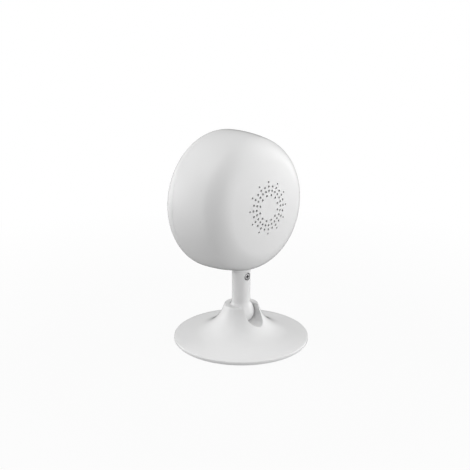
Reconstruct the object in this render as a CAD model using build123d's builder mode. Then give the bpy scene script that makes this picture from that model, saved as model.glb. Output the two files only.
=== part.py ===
"""Smart-home camera with a rear loudspeaker, on a tilting ball-joint stand.

The frame is +Z up with its origin at the middle of the stand's foot. The head's front faces -Y and
its loudspeaker faces +Y. The ball joint, the neck and the head's swivel all lie on the Z axis.
"""

import os
from math import cos, radians, sin, sqrt, tan

from build123d import *

os.makedirs("parts", exist_ok=True)

# Driving dimensions, in millimetres and degrees

# Clearances
slip = 0.05  # a piece that turns or slides in its hole
loose = 0.3  # pieces that pass each other
seat = 0.1  # a piece dropped into its pocket

# Stand cover
base_radius = 33.3
rim_top = 2.1
rim_bottom = 0.3
rim_round = 0.6
rim_under = 0.65
dish_slope = 10.0
flare_radius = 18.7
hub_draft = 20.0
hub_top_radius = 8.2
hub_top_z = 17.8
hub_round = 0.45
base_wall = 1.6
hub_wall = 2.0

# Ball joint
ball_radius = 6.5
ball_z = 14.1
socket_gap = 0.15
notch_width = 10.0
cup_floor = 3.2
cup_drop = 2.1  # how far the cup's rim stays below the ball's middle
spring_thickness = 0.5
spring_bore = 3.2
spring_count = 2

# Foot
plate_radius = 29.0
plate_thickness = 1.0
pad_thickness = 0.7
pad_inset = 0.6
ballast_radius = 21.5
base_screw_ring_radius = 17.0
base_screw_count = 3
base_screw_radius = 0.85
base_screw_head = 1.7
base_screw_length = 3.6
base_boss_radius = 2.2

# Neck
neck_radius = 4.5
neck_round = 1.5
neck_top_z = 34.8
neck_top_round = 0.2
stem_radius = 2.5
stem_length = 10.8
stem_bore_extra = 0.6
neck_screw_drop = 2.25
neck_screw_radius = 1.0
neck_screw_head_radius = 1.8
neck_screw_head_height = 1.0
neck_screw_sink = 0.25
neck_screw_reach = 0.55
cross_length = 2.3
cross_width = 0.55
cross_depth = 1.0
friction_ring_height = 1.4
friction_ring_section = 0.6
friction_ring_drop = 7.0

# Head casing
head_lift = 0.05  # gap between the neck's top and the head's lowest point
head_radius = 33.7
widest_y = -11.4
edge_radius = 7.0
side_arc = 76.5
shoulder_radius = 12.65
dome_radius = 124.0
back_y = 17.8
wall = 2.0
seam_back = 0.9
seam_gap = 0.1
tongue_length = 1.8
swivel_gap = 0.1
stem_boss_height = 4.0
thread_radius = 1.5
nut_across = 5.5
nut_height = 2.4
thread_proud = 1.0

# Rosette of sound holes, ring by ring from the inside; a turn is a share of the ring's own pitch
sound_ring_radii = (6.0, 8.0, 10.0, 12.0)
sound_ring_counts = (12, 24, 24, 12)
sound_ring_turns = (0.5, 0.0, 0.0, 0.0)
sound_hole_sizes = (1.15, 1.15, 1.15, 0.95)

# Front window and camera
bezel_face = 2.9
window_recess = 0.2
window_round = 0.3
window_thickness = 1.5
lip_width = 2.5
lip_thickness = 1.2
lens_ring_radius = 7.3
lens_ring_wall = 1.0
lens_ring_flange = 0.8
lens_ring_back = 0.8
barrel_radius = 5.9
barrel_recess = 0.9
front_lens_radius = 4.85
front_lens_edge = 1.0
front_lens_crown = 0.6
rear_lens_radius = 3.8
rear_lens_thickness = 1.2
barrel_bore = 3.0
barrel_room = 1.0
holder_size = 15.0
holder_height = 2.6
sensor_size = 7.0
sensor_thickness = 0.8
sensor_board_size = 20.0
board_thickness = 1.0
connector_length = 8.0
connector_width = 3.0

# Night lighting, status light and microphone
ir_board_gap = 0.6
led_room = 2.1
led_count = 8
led_ring_radius = 16.0
led_size = 3.2
led_base = 0.8
led_dome = 1.3
light_sensor_ring_radius = 11.0
light_sensor_size = 2.0
light_sensor_height = 0.8
guide_radius = 0.8
guide_flange = 1.4
guide_flange_thickness = 0.7
status_led_size = 1.6
status_led_height = 0.7
mic_length = 3.5
mic_width = 2.6
mic_height = 1.0
mic_hole = 0.5
mic_gasket_radius = 1.6
header_offset = 14.0
header_length = 6.0
header_width = 2.4

# Chassis
frame_thickness = 1.6
frame_gap = 0.5
shell_boss_radius = 2.2
shell_boss_angles = (90.0, 210.0, 318.0)
frame_screw_radius = 0.8
frame_screw_head = 1.6
frame_screw_head_height = 1.1
frame_screw_length = 6.0
post_height = 6.0
post_radius = 2.0
post_inset = 4.5
post_angles = (120.0, 240.0, 330.0)
board_screw_radius = 0.7
board_screw_head = 1.5
board_screw_head_height = 0.9
board_screw_length = 4.0

# Main board and what stands on it
main_board_gap = 4.5
main_board_thickness = 1.2
can_size = 16.0
can_height = 2.4
can_wall = 0.3
processor_size = 11.0
processor_height = 1.2
antenna_length = 18.0
antenna_width = 4.5
antenna_thickness = 0.8
antenna_angle = 145.0
antenna_inset = 2.65
usb_angle = 0.0
usb_width = 8.94
usb_height = 3.26
usb_depth = 7.4
usb_wall = 0.3
usb_back = 1.5
usb_tongue_short = 0.6
tongue_width = 6.7
tongue_thickness = 0.7
card_angle = 36.0
card_width = 12.0
card_depth = 13.0
card_height = 1.9
card_slot_height = 1.3
card_rail = 0.6
card_setback = 3.0
tab_margin = 1.0

# Reset button
reset_angle = -23.0
reset_travel = 0.5
button_radius = 1.15
button_sink = 0.3
button_flange = 1.8
button_flange_thickness = 0.8
switch_size = 4.4
switch_height = 2.4
switch_depth = 3.6
plunger_radius = 0.6
plunger_length = 2.2

# Loudspeaker
speaker_radius = 14.0
speaker_flange = 0.8
flange_width = 1.1
speaker_basket = 4.6
basket_wall = 0.8
basket_step = 1.2
cone_edge_gap = 0.8
speaker_seat_width = 1.4
speaker_collar = 3.2
collar_wall = 1.2
mesh_thickness = 0.2
gasket_thickness = 1.0
gasket_width = 1.3
cone_depth = 2.8
cone_thickness = 0.4
cone_travel = 0.3
coil_radius = 4.2
coil_wall = 0.35
coil_length = 3.0
magnet_radius = 7.0
magnet_length = 4.0
coil_gap = 0.3
lead_radius = 0.4
lead_angles = (255.0, 264.0)
lead_straight = 3.0
lead_slack = 2.6
lead_bend = 2.0

# Places worked out from them

# Stand, from the foot up
plate_bottom = pad_thickness
plate_top = plate_bottom + plate_thickness
notch_bottom = ball_z - notch_width / 2
socket_radius = ball_radius + socket_gap
tube_radius = socket_radius + hub_wall
cup_radius = socket_radius - slip
cup_top = ball_z - cup_drop
cup_bottom = ball_z - ball_radius - cup_floor
spring_space = (cup_bottom - plate_top) / spring_count
cavity_top = notch_bottom - base_wall

# The flare's corner is where the hub's line and the dish's line would meet
hub_lean = tan(radians(hub_draft))
dish_lean = tan(radians(dish_slope))
corner_r = (hub_top_radius + (hub_top_z - rim_top - dish_lean * base_radius) * hub_lean) / (
    1 - dish_lean * hub_lean
)
corner_z = rim_top + (base_radius - corner_r) * dish_lean
flare_open = radians(90 + hub_draft + dish_slope)
flare_reach = flare_radius / sin(flare_open / 2)
flare_mid = (radians(90 + hub_draft) + radians(-dish_slope)) / 2
flare_centre = (
    corner_r + flare_reach * cos(flare_mid),
    corner_z + flare_reach * sin(flare_mid),
)

# Neck and stem
boss_bottom = neck_top_z + swivel_gap
stem_bottom = boss_bottom - stem_length
bore_radius = stem_radius + slip
neck_screw_z = neck_top_z - neck_screw_drop
screw_head_y = neck_radius - neck_screw_sink
screw_seat_y = screw_head_y - neck_screw_head_height
screw_tip_y = stem_radius - neck_screw_reach
groove_radius = screw_tip_y - loose
boss_top = boss_bottom + stem_boss_height
neck_round_r = neck_radius + neck_round
neck_round_z = ball_z + sqrt((ball_radius + neck_round) ** 2 - neck_round_r**2)
neck_round_centre = Vector(neck_round_r, neck_round_z)
to_ball = (Vector(0, ball_z) - neck_round_centre).normalized()
neck_ball_meet = neck_round_centre + to_ball * neck_round
neck_round_middle = neck_round_centre + (to_ball + Vector(-1, 0)).normalized() * neck_round
friction_ring_z = boss_bottom - friction_ring_drop
stem_grooves = (
    (neck_screw_z, 2 * (neck_screw_radius + loose), groove_radius),
    (friction_ring_z, friction_ring_height + 2 * slip, stem_radius - friction_ring_section),
)

# Head, from its front back
head_z = neck_top_z + head_lift + head_radius
front_y = widest_y - edge_radius
seam_y = widest_y + seam_back
window_front = front_y + window_recess
window_back = window_front + window_thickness
lip_back = window_back + lip_thickness
ir_front = lip_back + led_room
ir_back = ir_front + board_thickness
frame_back = ir_back + frame_thickness
sensor_front = frame_back + holder_height
sensor_back = sensor_front + board_thickness
main_front = frame_back + post_height
main_back = main_front + main_board_thickness
frame_radius = head_radius - wall - frame_gap
shell_boss_offset = frame_radius - shell_boss_radius
ir_board_radius = shell_boss_offset - frame_screw_head - ir_board_gap
main_board_radius = shell_boss_offset - shell_boss_radius - main_board_gap
post_offset = main_board_radius - post_inset
antenna_offset = frame_radius - antenna_inset - antenna_width / 2
window_radius = head_radius - edge_radius - bezel_face
trim_offset = window_radius + (bezel_face + seat) / 2
lip_radius = window_radius - lip_width
lens_hole = lens_ring_radius + seat
barrel_front = window_front + barrel_recess
barrel_back = sensor_front - sensor_thickness - loose
usb_y = main_back + usb_height / 2
card_y = main_back + card_height / 2
switch_y = main_back + switch_height / 2

# Loudspeaker, from the back wall forwards
speaker_well = speaker_radius + seat
collar_radius = speaker_well + collar_wall
dome_drop = dome_radius - sqrt(dome_radius**2 - collar_radius**2)
seat_y = back_y - wall - dome_drop
mesh_front = seat_y - mesh_thickness
gasket_front = mesh_front - gasket_thickness
flange_front = gasket_front - speaker_flange
basket_front = flange_front - speaker_basket
cone_rim = flange_front - cone_travel - seat
cone_foot = cone_rim - cone_depth
magnet_front = basket_front - magnet_length
speaker_mouth = speaker_radius - flange_width - basket_wall
cone_radius = speaker_mouth - cone_edge_gap
lead_offset = speaker_radius - flange_width / 2
coil_front = cone_foot - coil_length
gap_front = coil_front - cone_travel - loose
lens_seat = barrel_front + front_lens_crown + front_lens_edge

# Sound holes: each ring's radius, count, first angle and hole diameter
sound_ring_starts = [
    90 + 360 * turn / count for turn, count in zip(sound_ring_turns, sound_ring_counts)
]
sound_rings = list(zip(sound_ring_radii, sound_ring_counts, sound_ring_starts, sound_hole_sizes))

# The head's outline: centres of the arcs and the directions in which they meet
edge_centre = Vector(widest_y, head_radius - edge_radius)
side_centre = Vector(widest_y, head_radius - side_arc)
dome_centre = Vector(back_y - dome_radius, 0)
side_to_shoulder = side_arc - shoulder_radius
dome_to_shoulder = dome_radius - shoulder_radius
centres = dome_centre - side_centre
along = (side_to_shoulder**2 - dome_to_shoulder**2 + centres.length**2) / (2 * centres.length)
across = sqrt(side_to_shoulder**2 - along**2)
centre_line = centres.normalized()
centre_normal = Vector(-centre_line.Y, centre_line.X)
shoulder_near = side_centre + centre_line * along + centre_normal * across
shoulder_far = side_centre + centre_line * along - centre_normal * across
shoulder_centre = max(shoulder_near, shoulder_far, key=lambda point: point.X)
side_end = (shoulder_centre - side_centre).normalized()
dome_end = (shoulder_centre - dome_centre).normalized()


def outline_radius(y, inset):
    """Radius of the head's side at a station behind its widest place."""
    return side_centre.Y + sqrt((side_arc - inset) ** 2 - (y - widest_y) ** 2)


def arc_about(centre, radius, start, end):
    """Arc about a centre by the shorter way round."""
    middle = ((start - centre) + (end - centre)).normalized()
    ThreePointArc(start, centre + middle * radius, end)


def head_section(inset):
    """Half section of the head about its axis, moved inwards: x along the axis, y outwards."""
    front = Vector(front_y + inset, 0)
    edge_start = Vector(front_y + inset, edge_centre.Y)
    edge_end = Vector(widest_y, head_radius - inset)
    side_stop = side_centre + side_end * (side_arc - inset)
    dome_start = dome_centre + dome_end * (dome_radius - inset)
    apex = Vector(back_y - inset, 0)
    with BuildSketch() as section:
        with BuildLine():
            Line(front, edge_start)
            arc_about(edge_centre, edge_radius - inset, edge_start, edge_end)
            arc_about(side_centre, side_arc - inset, edge_end, side_stop)
            arc_about(shoulder_centre, shoulder_radius - inset, side_stop, dome_start)
            arc_about(dome_centre, dome_radius - inset, dome_start, apex)
            Line(apex, front)
        make_face()
    return section.sketch


def block(start, stop, inner, outer):
    """Rectangle in a half section: from start to stop along the axis, from inner to outer radius."""
    with BuildSketch() as section:
        with Locations((start, inner)):
            Rectangle(stop - start, outer - inner, align=Align.MIN)
    return section.sketch


def core(inset, start, stop):
    """Half section of the head between two stations, moved inwards."""
    with BuildSketch() as section:
        add(head_section(inset))
        add(block(start, stop, 0, head_radius + wall), mode=Mode.INTERSECT)
    return section.sketch


def band(outer_inset, inner_inset, start, stop):
    """Half section of a wall that follows the head's outline."""
    with BuildSketch() as section:
        add(core(outer_inset, start, stop))
        add(head_section(inner_inset), mode=Mode.SUBTRACT)
    return section.sketch


def speaker_seat():
    """Half section of the collar that holds the loudspeaker, and of the flat that it seats on."""
    with BuildSketch() as section:
        add(block(seat_y, back_y, speaker_well - speaker_seat_width, collar_radius))
        add(block(seat_y - speaker_collar, back_y, speaker_well, collar_radius))
        add(head_section(wall / 2), mode=Mode.INTERSECT)
    return section.sketch


def head_plane(y):
    """Plane across the head at a station: x to the head's own right, y up, normal to the back."""
    return Plane(origin=(0, y, head_z), x_dir=(-1, 0, 0), z_dir=(0, 1, 0))


def front_plane(y):
    """Plane across the head at a station: x to the head's own left, y up, normal to the front."""
    return Plane(origin=(0, y, head_z), x_dir=(1, 0, 0), z_dir=(0, -1, 0))


def side_plane(angle, y, radius):
    """Plane that faces outwards on the head's side: x around the head, y to the back."""
    turn = radians(angle)
    outwards = Vector(-cos(turn), 0, sin(turn))
    return Plane(
        origin=Vector(0, y, head_z) + outwards * radius,
        x_dir=(sin(turn), 0, cos(turn)),
        z_dir=outwards,
    )


def lead_plane(angle):
    """Plane through the head's axis: x outwards at an angle, y to the back."""
    turn = radians(angle)
    return Plane(
        origin=(0, 0, head_z),
        x_dir=(-cos(turn), 0, sin(turn)),
        z_dir=(-sin(turn), 0, -cos(turn)),
    )


def hand_in(piece, name):
    """Label a finished piece and write its file."""
    piece.part.label = name
    export_step(piece.part, f"parts/{name}.step")


on_plane = (Align.CENTER, Align.CENTER, Align.MIN)
screw_plane = Plane(origin=(0, screw_seat_y, neck_screw_z), x_dir=(-1, 0, 0), z_dir=(0, 1, 0))
usb_mouth = outline_radius(usb_y, wall) - loose
card_mouth = outline_radius(card_y, wall) - card_setback
button_face = outline_radius(switch_y, 0) - button_sink
button_flange_face = outline_radius(switch_y + button_flange, wall) - loose
button_foot = button_flange_face - button_flange_thickness
switch_face = button_foot - reset_travel - loose
board_tabs = (
    (usb_angle, usb_width, usb_mouth),
    (card_angle, card_width, card_mouth),
    (reset_angle, switch_size, switch_face),
)
tongue_front = seam_y - tongue_length - loose
head_axis = Axis((0, 0, head_z), (0, 1, 0))
head_half = Plane(origin=(0, 0, head_z), x_dir=(0, 1, 0), z_dir=(1, 0, 0))

# Hollow under the flare: it keeps one wall all over, stays under the notch and leaves the screw bosses
with BuildPart() as base_hollow:
    with BuildSketch(Plane.XZ):
        with Locations((tube_radius, plate_top)):
            Rectangle(ballast_radius + loose - tube_radius, cavity_top - plate_top, align=Align.MIN)
        with Locations(flare_centre):
            Circle(flare_radius + base_wall, mode=Mode.SUBTRACT)
    revolve(axis=Axis.Z)
    with BuildSketch(Plane.XY.offset(plate_top)):
        with PolarLocations(base_screw_ring_radius, base_screw_count, start_angle=90):
            Circle(base_boss_radius)
    extrude(amount=cavity_top, mode=Mode.SUBTRACT)

# Notch for the tilted neck, open to the rear and upwards
with BuildPart() as notch:
    with BuildSketch(Plane.XZ):
        with Locations((0, ball_z)):
            Circle(notch_width / 2)
            Rectangle(notch_width, hub_top_z, align=(Align.CENTER, Align.MIN))
    extrude(amount=-base_radius)

# Stand cover: a trumpet with the ball's socket at its top and the notch at its rear
with BuildPart() as base_cover:
    with BuildSketch(Plane.XZ):
        with BuildLine():
            FilletPolyline(
                (hub_top_radius, hub_top_z),
                (corner_r, corner_z),
                (base_radius, rim_top),
                radius=flare_radius,
            )
            Polyline(
                (base_radius, rim_top),
                (base_radius, rim_bottom),
                (plate_radius + seat, rim_bottom),
                (plate_radius + seat, plate_top),
                (0, plate_top),
                (0, hub_top_z),
                (hub_top_radius, hub_top_z),
            )
        make_face()
    revolve(axis=Axis.Z)
    cover_circles = base_cover.edges().filter_by(GeomType.CIRCLE)
    fillet(cover_circles.filter_by_position(Axis.Z, rim_top - slip, rim_top + slip), radius=rim_round)
    fillet(base_cover.edges().filter_by(GeomType.CIRCLE).sort_by(Axis.Z)[-1], radius=hub_round)
    foot_circles = base_cover.edges().filter_by(GeomType.CIRCLE).group_by(Axis.Z)[0]
    fillet(foot_circles.sort_by(SortBy.RADIUS)[-1], radius=rim_under)
    add(base_hollow.part, mode=Mode.SUBTRACT)
    with Locations((0, 0, ball_z)):
        Sphere(socket_radius, mode=Mode.SUBTRACT)
    with BuildSketch(Plane.XY.offset(plate_top)):
        Circle(socket_radius)
    extrude(amount=ball_z - plate_top, mode=Mode.SUBTRACT)
    add(notch.part, mode=Mode.SUBTRACT)
    with BuildSketch(Plane.XY.offset(plate_top)):
        with PolarLocations(base_screw_ring_radius, base_screw_count, start_angle=90):
            Circle(base_screw_radius + slip)
    extrude(amount=base_screw_length - plate_thickness + loose, mode=Mode.SUBTRACT)
hand_in(base_cover, "base_cover")

# Ballast: a steel ring that fills the hollow, with room for the bosses
with BuildPart() as ballast_ring:
    with BuildSketch(Plane.XZ):
        with Locations((tube_radius + loose, plate_top)):
            Rectangle(
                ballast_radius - tube_radius - loose,
                cavity_top - loose - plate_top,
                align=Align.MIN,
            )
        with Locations(flare_centre):
            Circle(flare_radius + base_wall + loose, mode=Mode.SUBTRACT)
    revolve(axis=Axis.Z)
    with BuildSketch(Plane.XY.offset(plate_top)):
        with PolarLocations(base_screw_ring_radius, base_screw_count, start_angle=90):
            Circle(base_boss_radius + loose)
    extrude(amount=cavity_top, mode=Mode.SUBTRACT)
hand_in(ballast_ring, "ballast_ring")

# Closing plate with countersunk screw holes
with BuildPart(Plane.XY.offset(plate_bottom)) as base_plate:
    Cylinder(plate_radius, plate_thickness, align=on_plane)
    with PolarLocations(base_screw_ring_radius, base_screw_count, start_angle=90):
        Cone(
            base_screw_head + slip,
            base_screw_radius + slip,
            plate_thickness,
            align=on_plane,
            mode=Mode.SUBTRACT,
        )
hand_in(base_plate, "base_plate")

# Countersunk screws of the closing plate
with BuildPart(Plane.XY.offset(plate_bottom)) as base_screws:
    with PolarLocations(base_screw_ring_radius, base_screw_count, start_angle=90):
        Cone(base_screw_head, base_screw_radius, plate_thickness, align=on_plane)
        Cylinder(base_screw_radius, base_screw_length, align=on_plane)
hand_in(base_screws, "base_screws")

# Rubber pad under the plate
with BuildPart() as foot_pad:
    with BuildSketch():
        Circle(plate_radius - pad_inset)
    extrude(amount=pad_thickness)
hand_in(foot_pad, "foot_pad")

# Lower half of the socket, free to slide up against the ball
with BuildPart() as ball_cup:
    with BuildSketch(Plane.XY.offset(cup_bottom)):
        Circle(cup_radius)
    extrude(amount=cup_top - cup_bottom)
    with Locations((0, 0, ball_z)):
        Sphere(ball_radius + slip, mode=Mode.SUBTRACT)
    add(notch.part, mode=Mode.SUBTRACT)
hand_in(ball_cup, "ball_cup")

# Cupped spring washers, stacked face to face in pairs
with BuildPart() as disc_springs:
    for number in range(spring_count):
        low = plate_top + number * spring_space + slip / 2
        high = low + spring_space - slip
        outer_z, inner_z = (low, high - spring_thickness)
        if number % 2:
            outer_z, inner_z = (high - spring_thickness, low)
        with BuildSketch(Plane.XZ):
            with BuildLine():
                Polyline(
                    (cup_radius - loose, outer_z),
                    (cup_radius - loose, outer_z + spring_thickness),
                    (spring_bore, inner_z + spring_thickness),
                    (spring_bore, inner_z),
                    close=True,
                )
            make_face()
        revolve(axis=Axis.Z)
hand_in(disc_springs, "disc_springs")

# Neck: a tube that ends in the ball, bored for the head's stem
with BuildPart() as neck:
    with BuildSketch(Plane.XZ):
        with BuildLine():
            ball_arc = ThreePointArc(
                (0, ball_z - ball_radius), (ball_radius, ball_z), neck_ball_meet
            )
            ThreePointArc(ball_arc @ 1, neck_round_middle, (neck_radius, neck_round_z))
            Polyline(
                (neck_radius, neck_round_z),
                (neck_radius, neck_top_z),
                (bore_radius, neck_top_z),
                (bore_radius, stem_bottom - stem_bore_extra),
                (0, stem_bottom - stem_bore_extra),
                (0, ball_z - ball_radius),
            )
        make_face()
    revolve(axis=Axis.Z)
    fillet(neck.edges().group_by(Axis.Z)[-1].sort_by(SortBy.LENGTH)[-1], radius=neck_top_round)
    with BuildSketch(screw_plane):
        Circle(neck_screw_head_radius + seat)
    extrude(amount=neck_radius, mode=Mode.SUBTRACT)
    with BuildSketch(screw_plane):
        Circle(neck_screw_radius + slip)
    extrude(amount=-screw_seat_y, mode=Mode.SUBTRACT)
hand_in(neck, "neck")

# Cross-head screw whose tip runs in the stem's groove
with BuildPart(screw_plane) as neck_screw:
    Cylinder(neck_screw_head_radius, neck_screw_head_height, align=on_plane)
    fillet(neck_screw.edges().sort_by(Axis.Y)[-1], radius=neck_screw_head_height / 2)
    with BuildSketch(screw_plane.offset(neck_screw_head_height)):
        Rectangle(cross_length, cross_width)
        Rectangle(cross_width, cross_length)
    extrude(amount=-cross_depth, mode=Mode.SUBTRACT)
    with BuildSketch(screw_plane):
        Circle(neck_screw_radius)
    extrude(amount=screw_tip_y - screw_seat_y)
hand_in(neck_screw, "neck_screw")

# Stem that the head turns on, grooved for the screw's tip and for the friction ring
with BuildPart() as head_stem:
    with BuildSketch(Plane.XY.offset(stem_bottom)):
        Circle(stem_radius)
    extrude(amount=stem_length)
    with BuildSketch(Plane.XY.offset(boss_bottom)):
        Circle(thread_radius)
    extrude(amount=stem_boss_height + nut_height + thread_proud)
    for groove_z, groove_height, groove_floor in stem_grooves:
        with BuildSketch(Plane.XY.offset(groove_z - groove_height / 2)):
            Circle(stem_radius + slip)
            Circle(groove_floor, mode=Mode.SUBTRACT)
        extrude(amount=groove_height, mode=Mode.SUBTRACT)
hand_in(head_stem, "head_stem")

# Rubber ring that brakes the head's turn
with BuildPart() as friction_ring:
    with BuildSketch(Plane.XY.offset(friction_ring_z - friction_ring_height / 2)):
        Circle(stem_radius + slip / 2)
        Circle(stem_radius - friction_ring_section + slip / 2, mode=Mode.SUBTRACT)
    extrude(amount=friction_ring_height)
hand_in(friction_ring, "friction_ring")

# Nut that holds the stem in the rear shell
with BuildPart() as stem_nut:
    with BuildSketch(Plane.XY.offset(boss_top)):
        RegularPolygon(nut_across / 2, 6, major_radius=False)
        Circle(thread_radius + slip, mode=Mode.SUBTRACT)
    extrude(amount=nut_height)
hand_in(stem_nut, "stem_nut")

# Rear shell, with the rosette, the loudspeaker's seat, the frame's bosses and the stem's boss
with BuildPart() as rear_shell:
    with BuildSketch(head_plane(frame_back)):
        for angle in shell_boss_angles:
            with PolarLocations(shell_boss_offset, 1, start_angle=angle):
                Circle(shell_boss_radius)
    extrude(amount=back_y - frame_back)
    with BuildSketch(head_half):
        add(head_section(wall / 2))
    revolve(axis=head_axis, mode=Mode.INTERSECT)
    with BuildSketch(head_half):
        add(band(0, wall, seam_y, back_y + wall))
        add(band(wall / 2 + seat, wall, seam_y - tongue_length, seam_y + wall))
        add(speaker_seat())
    revolve(axis=head_axis)
    with BuildSketch(Plane.XY.offset(boss_bottom)):
        Circle(neck_radius)
    extrude(amount=stem_boss_height)
    with BuildSketch(Plane.XY.offset(boss_bottom)):
        Circle(thread_radius + slip)
    extrude(amount=stem_boss_height, mode=Mode.SUBTRACT)
    with BuildSketch(head_plane(frame_back)):
        for angle in shell_boss_angles:
            with PolarLocations(shell_boss_offset, 1, start_angle=angle):
                Circle(frame_screw_radius + slip)
    extrude(amount=frame_screw_length - frame_thickness + loose, mode=Mode.SUBTRACT)
    with BuildSketch(head_plane(seat_y)):
        for ring_radius, ring_count, ring_start, hole_size in sound_rings:
            with PolarLocations(ring_radius, ring_count, start_angle=ring_start):
                Circle(hole_size / 2)
    extrude(amount=back_y + wall - seat_y, mode=Mode.SUBTRACT)
    with BuildSketch(side_plane(usb_angle, usb_y, head_radius - 2 * wall)):
        SlotOverall(usb_width + 2 * loose, usb_height + 2 * loose)
    extrude(amount=2 * wall, mode=Mode.SUBTRACT)
    with BuildSketch(side_plane(card_angle, card_y, head_radius - 2 * wall)):
        SlotOverall(card_width + 2 * loose, card_slot_height + 2 * loose)
    extrude(amount=2 * wall, mode=Mode.SUBTRACT)
    with BuildSketch(side_plane(reset_angle, switch_y, head_radius - 2 * wall)):
        Circle(button_radius + slip)
    extrude(amount=2 * wall, mode=Mode.SUBTRACT)
hand_in(rear_shell, "rear_shell")

# Front bezel: it holds the window in a pocket and overlaps the rear shell's tongue
with BuildPart() as front_bezel:
    with BuildSketch(head_half):
        add(head_section(0))
        add(block(front_y - wall, seam_y - seam_gap, lip_radius, head_radius + wall), mode=Mode.INTERSECT)
        add(block(front_y - wall, window_back, 0, window_radius + seat), mode=Mode.SUBTRACT)
        add(core(wall, lip_back, seam_y), mode=Mode.SUBTRACT)
        add(core(wall / 2, tongue_front, seam_y), mode=Mode.SUBTRACT)
    revolve(axis=head_axis)
    with BuildSketch(head_plane(front_y)):
        with PolarLocations(trim_offset, 1, start_angle=270):
            Circle(guide_radius + slip)
        with PolarLocations(trim_offset, 1, start_angle=90):
            Circle(mic_hole)
    extrude(amount=lip_back - front_y, mode=Mode.SUBTRACT)
hand_in(front_bezel, "front_bezel")

# Front window, with a hole for the lens
with BuildPart() as front_window:
    with BuildSketch(head_plane(window_front)):
        Circle(window_radius)
        Circle(lens_hole, mode=Mode.SUBTRACT)
    extrude(amount=window_thickness)
    fillet(front_window.edges().group_by(Axis.Y)[0].sort_by(SortBy.LENGTH)[-1], radius=window_round)
hand_in(front_window, "front_window")

# Trim ring in the window's hole, flanged behind the window
with BuildPart() as lens_ring:
    with BuildSketch(head_plane(window_front)):
        Circle(lens_ring_radius)
    extrude(amount=window_thickness)
    with BuildSketch(head_plane(window_back)):
        Circle(lens_hole + lens_ring_flange)
    extrude(amount=lens_ring_back)
    with BuildSketch(head_plane(window_front)):
        Circle(lens_ring_radius - lens_ring_wall)
    extrude(amount=window_thickness + lens_ring_back, mode=Mode.SUBTRACT)
hand_in(lens_ring, "lens_ring")

# Lens barrel, with a seat for a lens at each end
with BuildPart() as lens_barrel:
    with BuildSketch(head_half):
        add(block(barrel_front, barrel_back, barrel_bore, barrel_radius))
        add(block(barrel_front, lens_seat, 0, front_lens_radius + slip), mode=Mode.SUBTRACT)
        add(
            block(barrel_back - rear_lens_thickness, barrel_back, 0, rear_lens_radius + slip),
            mode=Mode.SUBTRACT,
        )
    revolve(axis=head_axis)
hand_in(lens_barrel, "lens_barrel")

# Front lens: flat behind, crowned in front
crown_radius = (front_lens_radius**2 + front_lens_crown**2) / (2 * front_lens_crown)
with BuildPart() as front_lens:
    with BuildSketch(head_half):
        with BuildLine():
            crown_edge = Vector(lens_seat - front_lens_edge, front_lens_radius)
            crown_apex = Vector(barrel_front, 0)
            arc_about(Vector(barrel_front + crown_radius, 0), crown_radius, crown_apex, crown_edge)
            Polyline(crown_edge, (lens_seat, front_lens_radius), (lens_seat, 0), crown_apex)
        make_face()
    revolve(axis=head_axis)
hand_in(front_lens, "front_lens")

# Rear lens
with BuildPart() as rear_lens:
    with BuildSketch(head_plane(barrel_back - rear_lens_thickness)):
        Circle(rear_lens_radius)
    extrude(amount=rear_lens_thickness)
hand_in(rear_lens, "rear_lens")

# Lens holder: a block on the sensor board that takes the barrel and covers the sensor
with BuildPart() as lens_holder:
    with BuildSketch(head_plane(frame_back)):
        Rectangle(holder_size, holder_size)
    extrude(amount=holder_height)
    with BuildSketch(head_plane(frame_back)):
        Circle(barrel_radius + slip)
    extrude(amount=barrel_back - frame_back, mode=Mode.SUBTRACT)
    with BuildSketch(head_plane(barrel_back)):
        Rectangle(sensor_size + 2 * loose, sensor_size + 2 * loose)
    extrude(amount=sensor_front - barrel_back, mode=Mode.SUBTRACT)
hand_in(lens_holder, "lens_holder")

# Image sensor
with BuildPart() as image_sensor:
    with BuildSketch(head_plane(sensor_front)):
        Rectangle(sensor_size, sensor_size)
    extrude(amount=-sensor_thickness)
hand_in(image_sensor, "image_sensor")

# Sensor board
with BuildPart() as sensor_board:
    with BuildSketch(head_plane(sensor_front)):
        Rectangle(sensor_board_size, sensor_board_size)
    extrude(amount=board_thickness)
hand_in(sensor_board, "sensor_board")

# Connector between the sensor board and the main board
with BuildPart() as camera_connector:
    with BuildSketch(head_plane(sensor_back)):
        Rectangle(connector_length, connector_width)
    extrude(amount=main_front - sensor_back)
hand_in(camera_connector, "camera_connector")

# Lighting board around the lens
with BuildPart() as ir_board:
    with BuildSketch(head_plane(ir_front)):
        Circle(ir_board_radius)
        Circle(barrel_radius + barrel_room, mode=Mode.SUBTRACT)
    extrude(amount=board_thickness)
hand_in(ir_board, "ir_board")

# Night-vision lamps
with BuildPart(front_plane(ir_front)) as ir_leds:
    with PolarLocations(led_ring_radius, led_count):
        Box(led_size, led_size, led_base, align=on_plane)
        with Locations((0, 0, led_base)):
            Sphere(led_dome, arc_size1=0, align=on_plane)
hand_in(ir_leds, "ir_leds")

# Light sensor that switches the lamps
with BuildPart(front_plane(ir_front)) as light_sensor:
    with PolarLocations(light_sensor_ring_radius, 1, start_angle=90):
        Box(light_sensor_size, light_sensor_size, light_sensor_height, align=on_plane)
hand_in(light_sensor, "light_sensor")

# Status lamp under the light guide
with BuildPart(front_plane(ir_front)) as status_led:
    with PolarLocations(trim_offset, 1, start_angle=270):
        Box(status_led_size, status_led_size, status_led_height, align=on_plane)
hand_in(status_led, "status_led")

# Light guide, flanged behind the bezel's lip
with BuildPart(front_plane(lip_back)) as light_guide:
    with PolarLocations(trim_offset, 1, start_angle=270):
        Cylinder(guide_radius, lip_back - front_y, align=on_plane)
        with Locations((0, 0, -guide_flange_thickness)):
            Cylinder(guide_flange, guide_flange_thickness, align=on_plane)
hand_in(light_guide, "light_guide")

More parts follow.
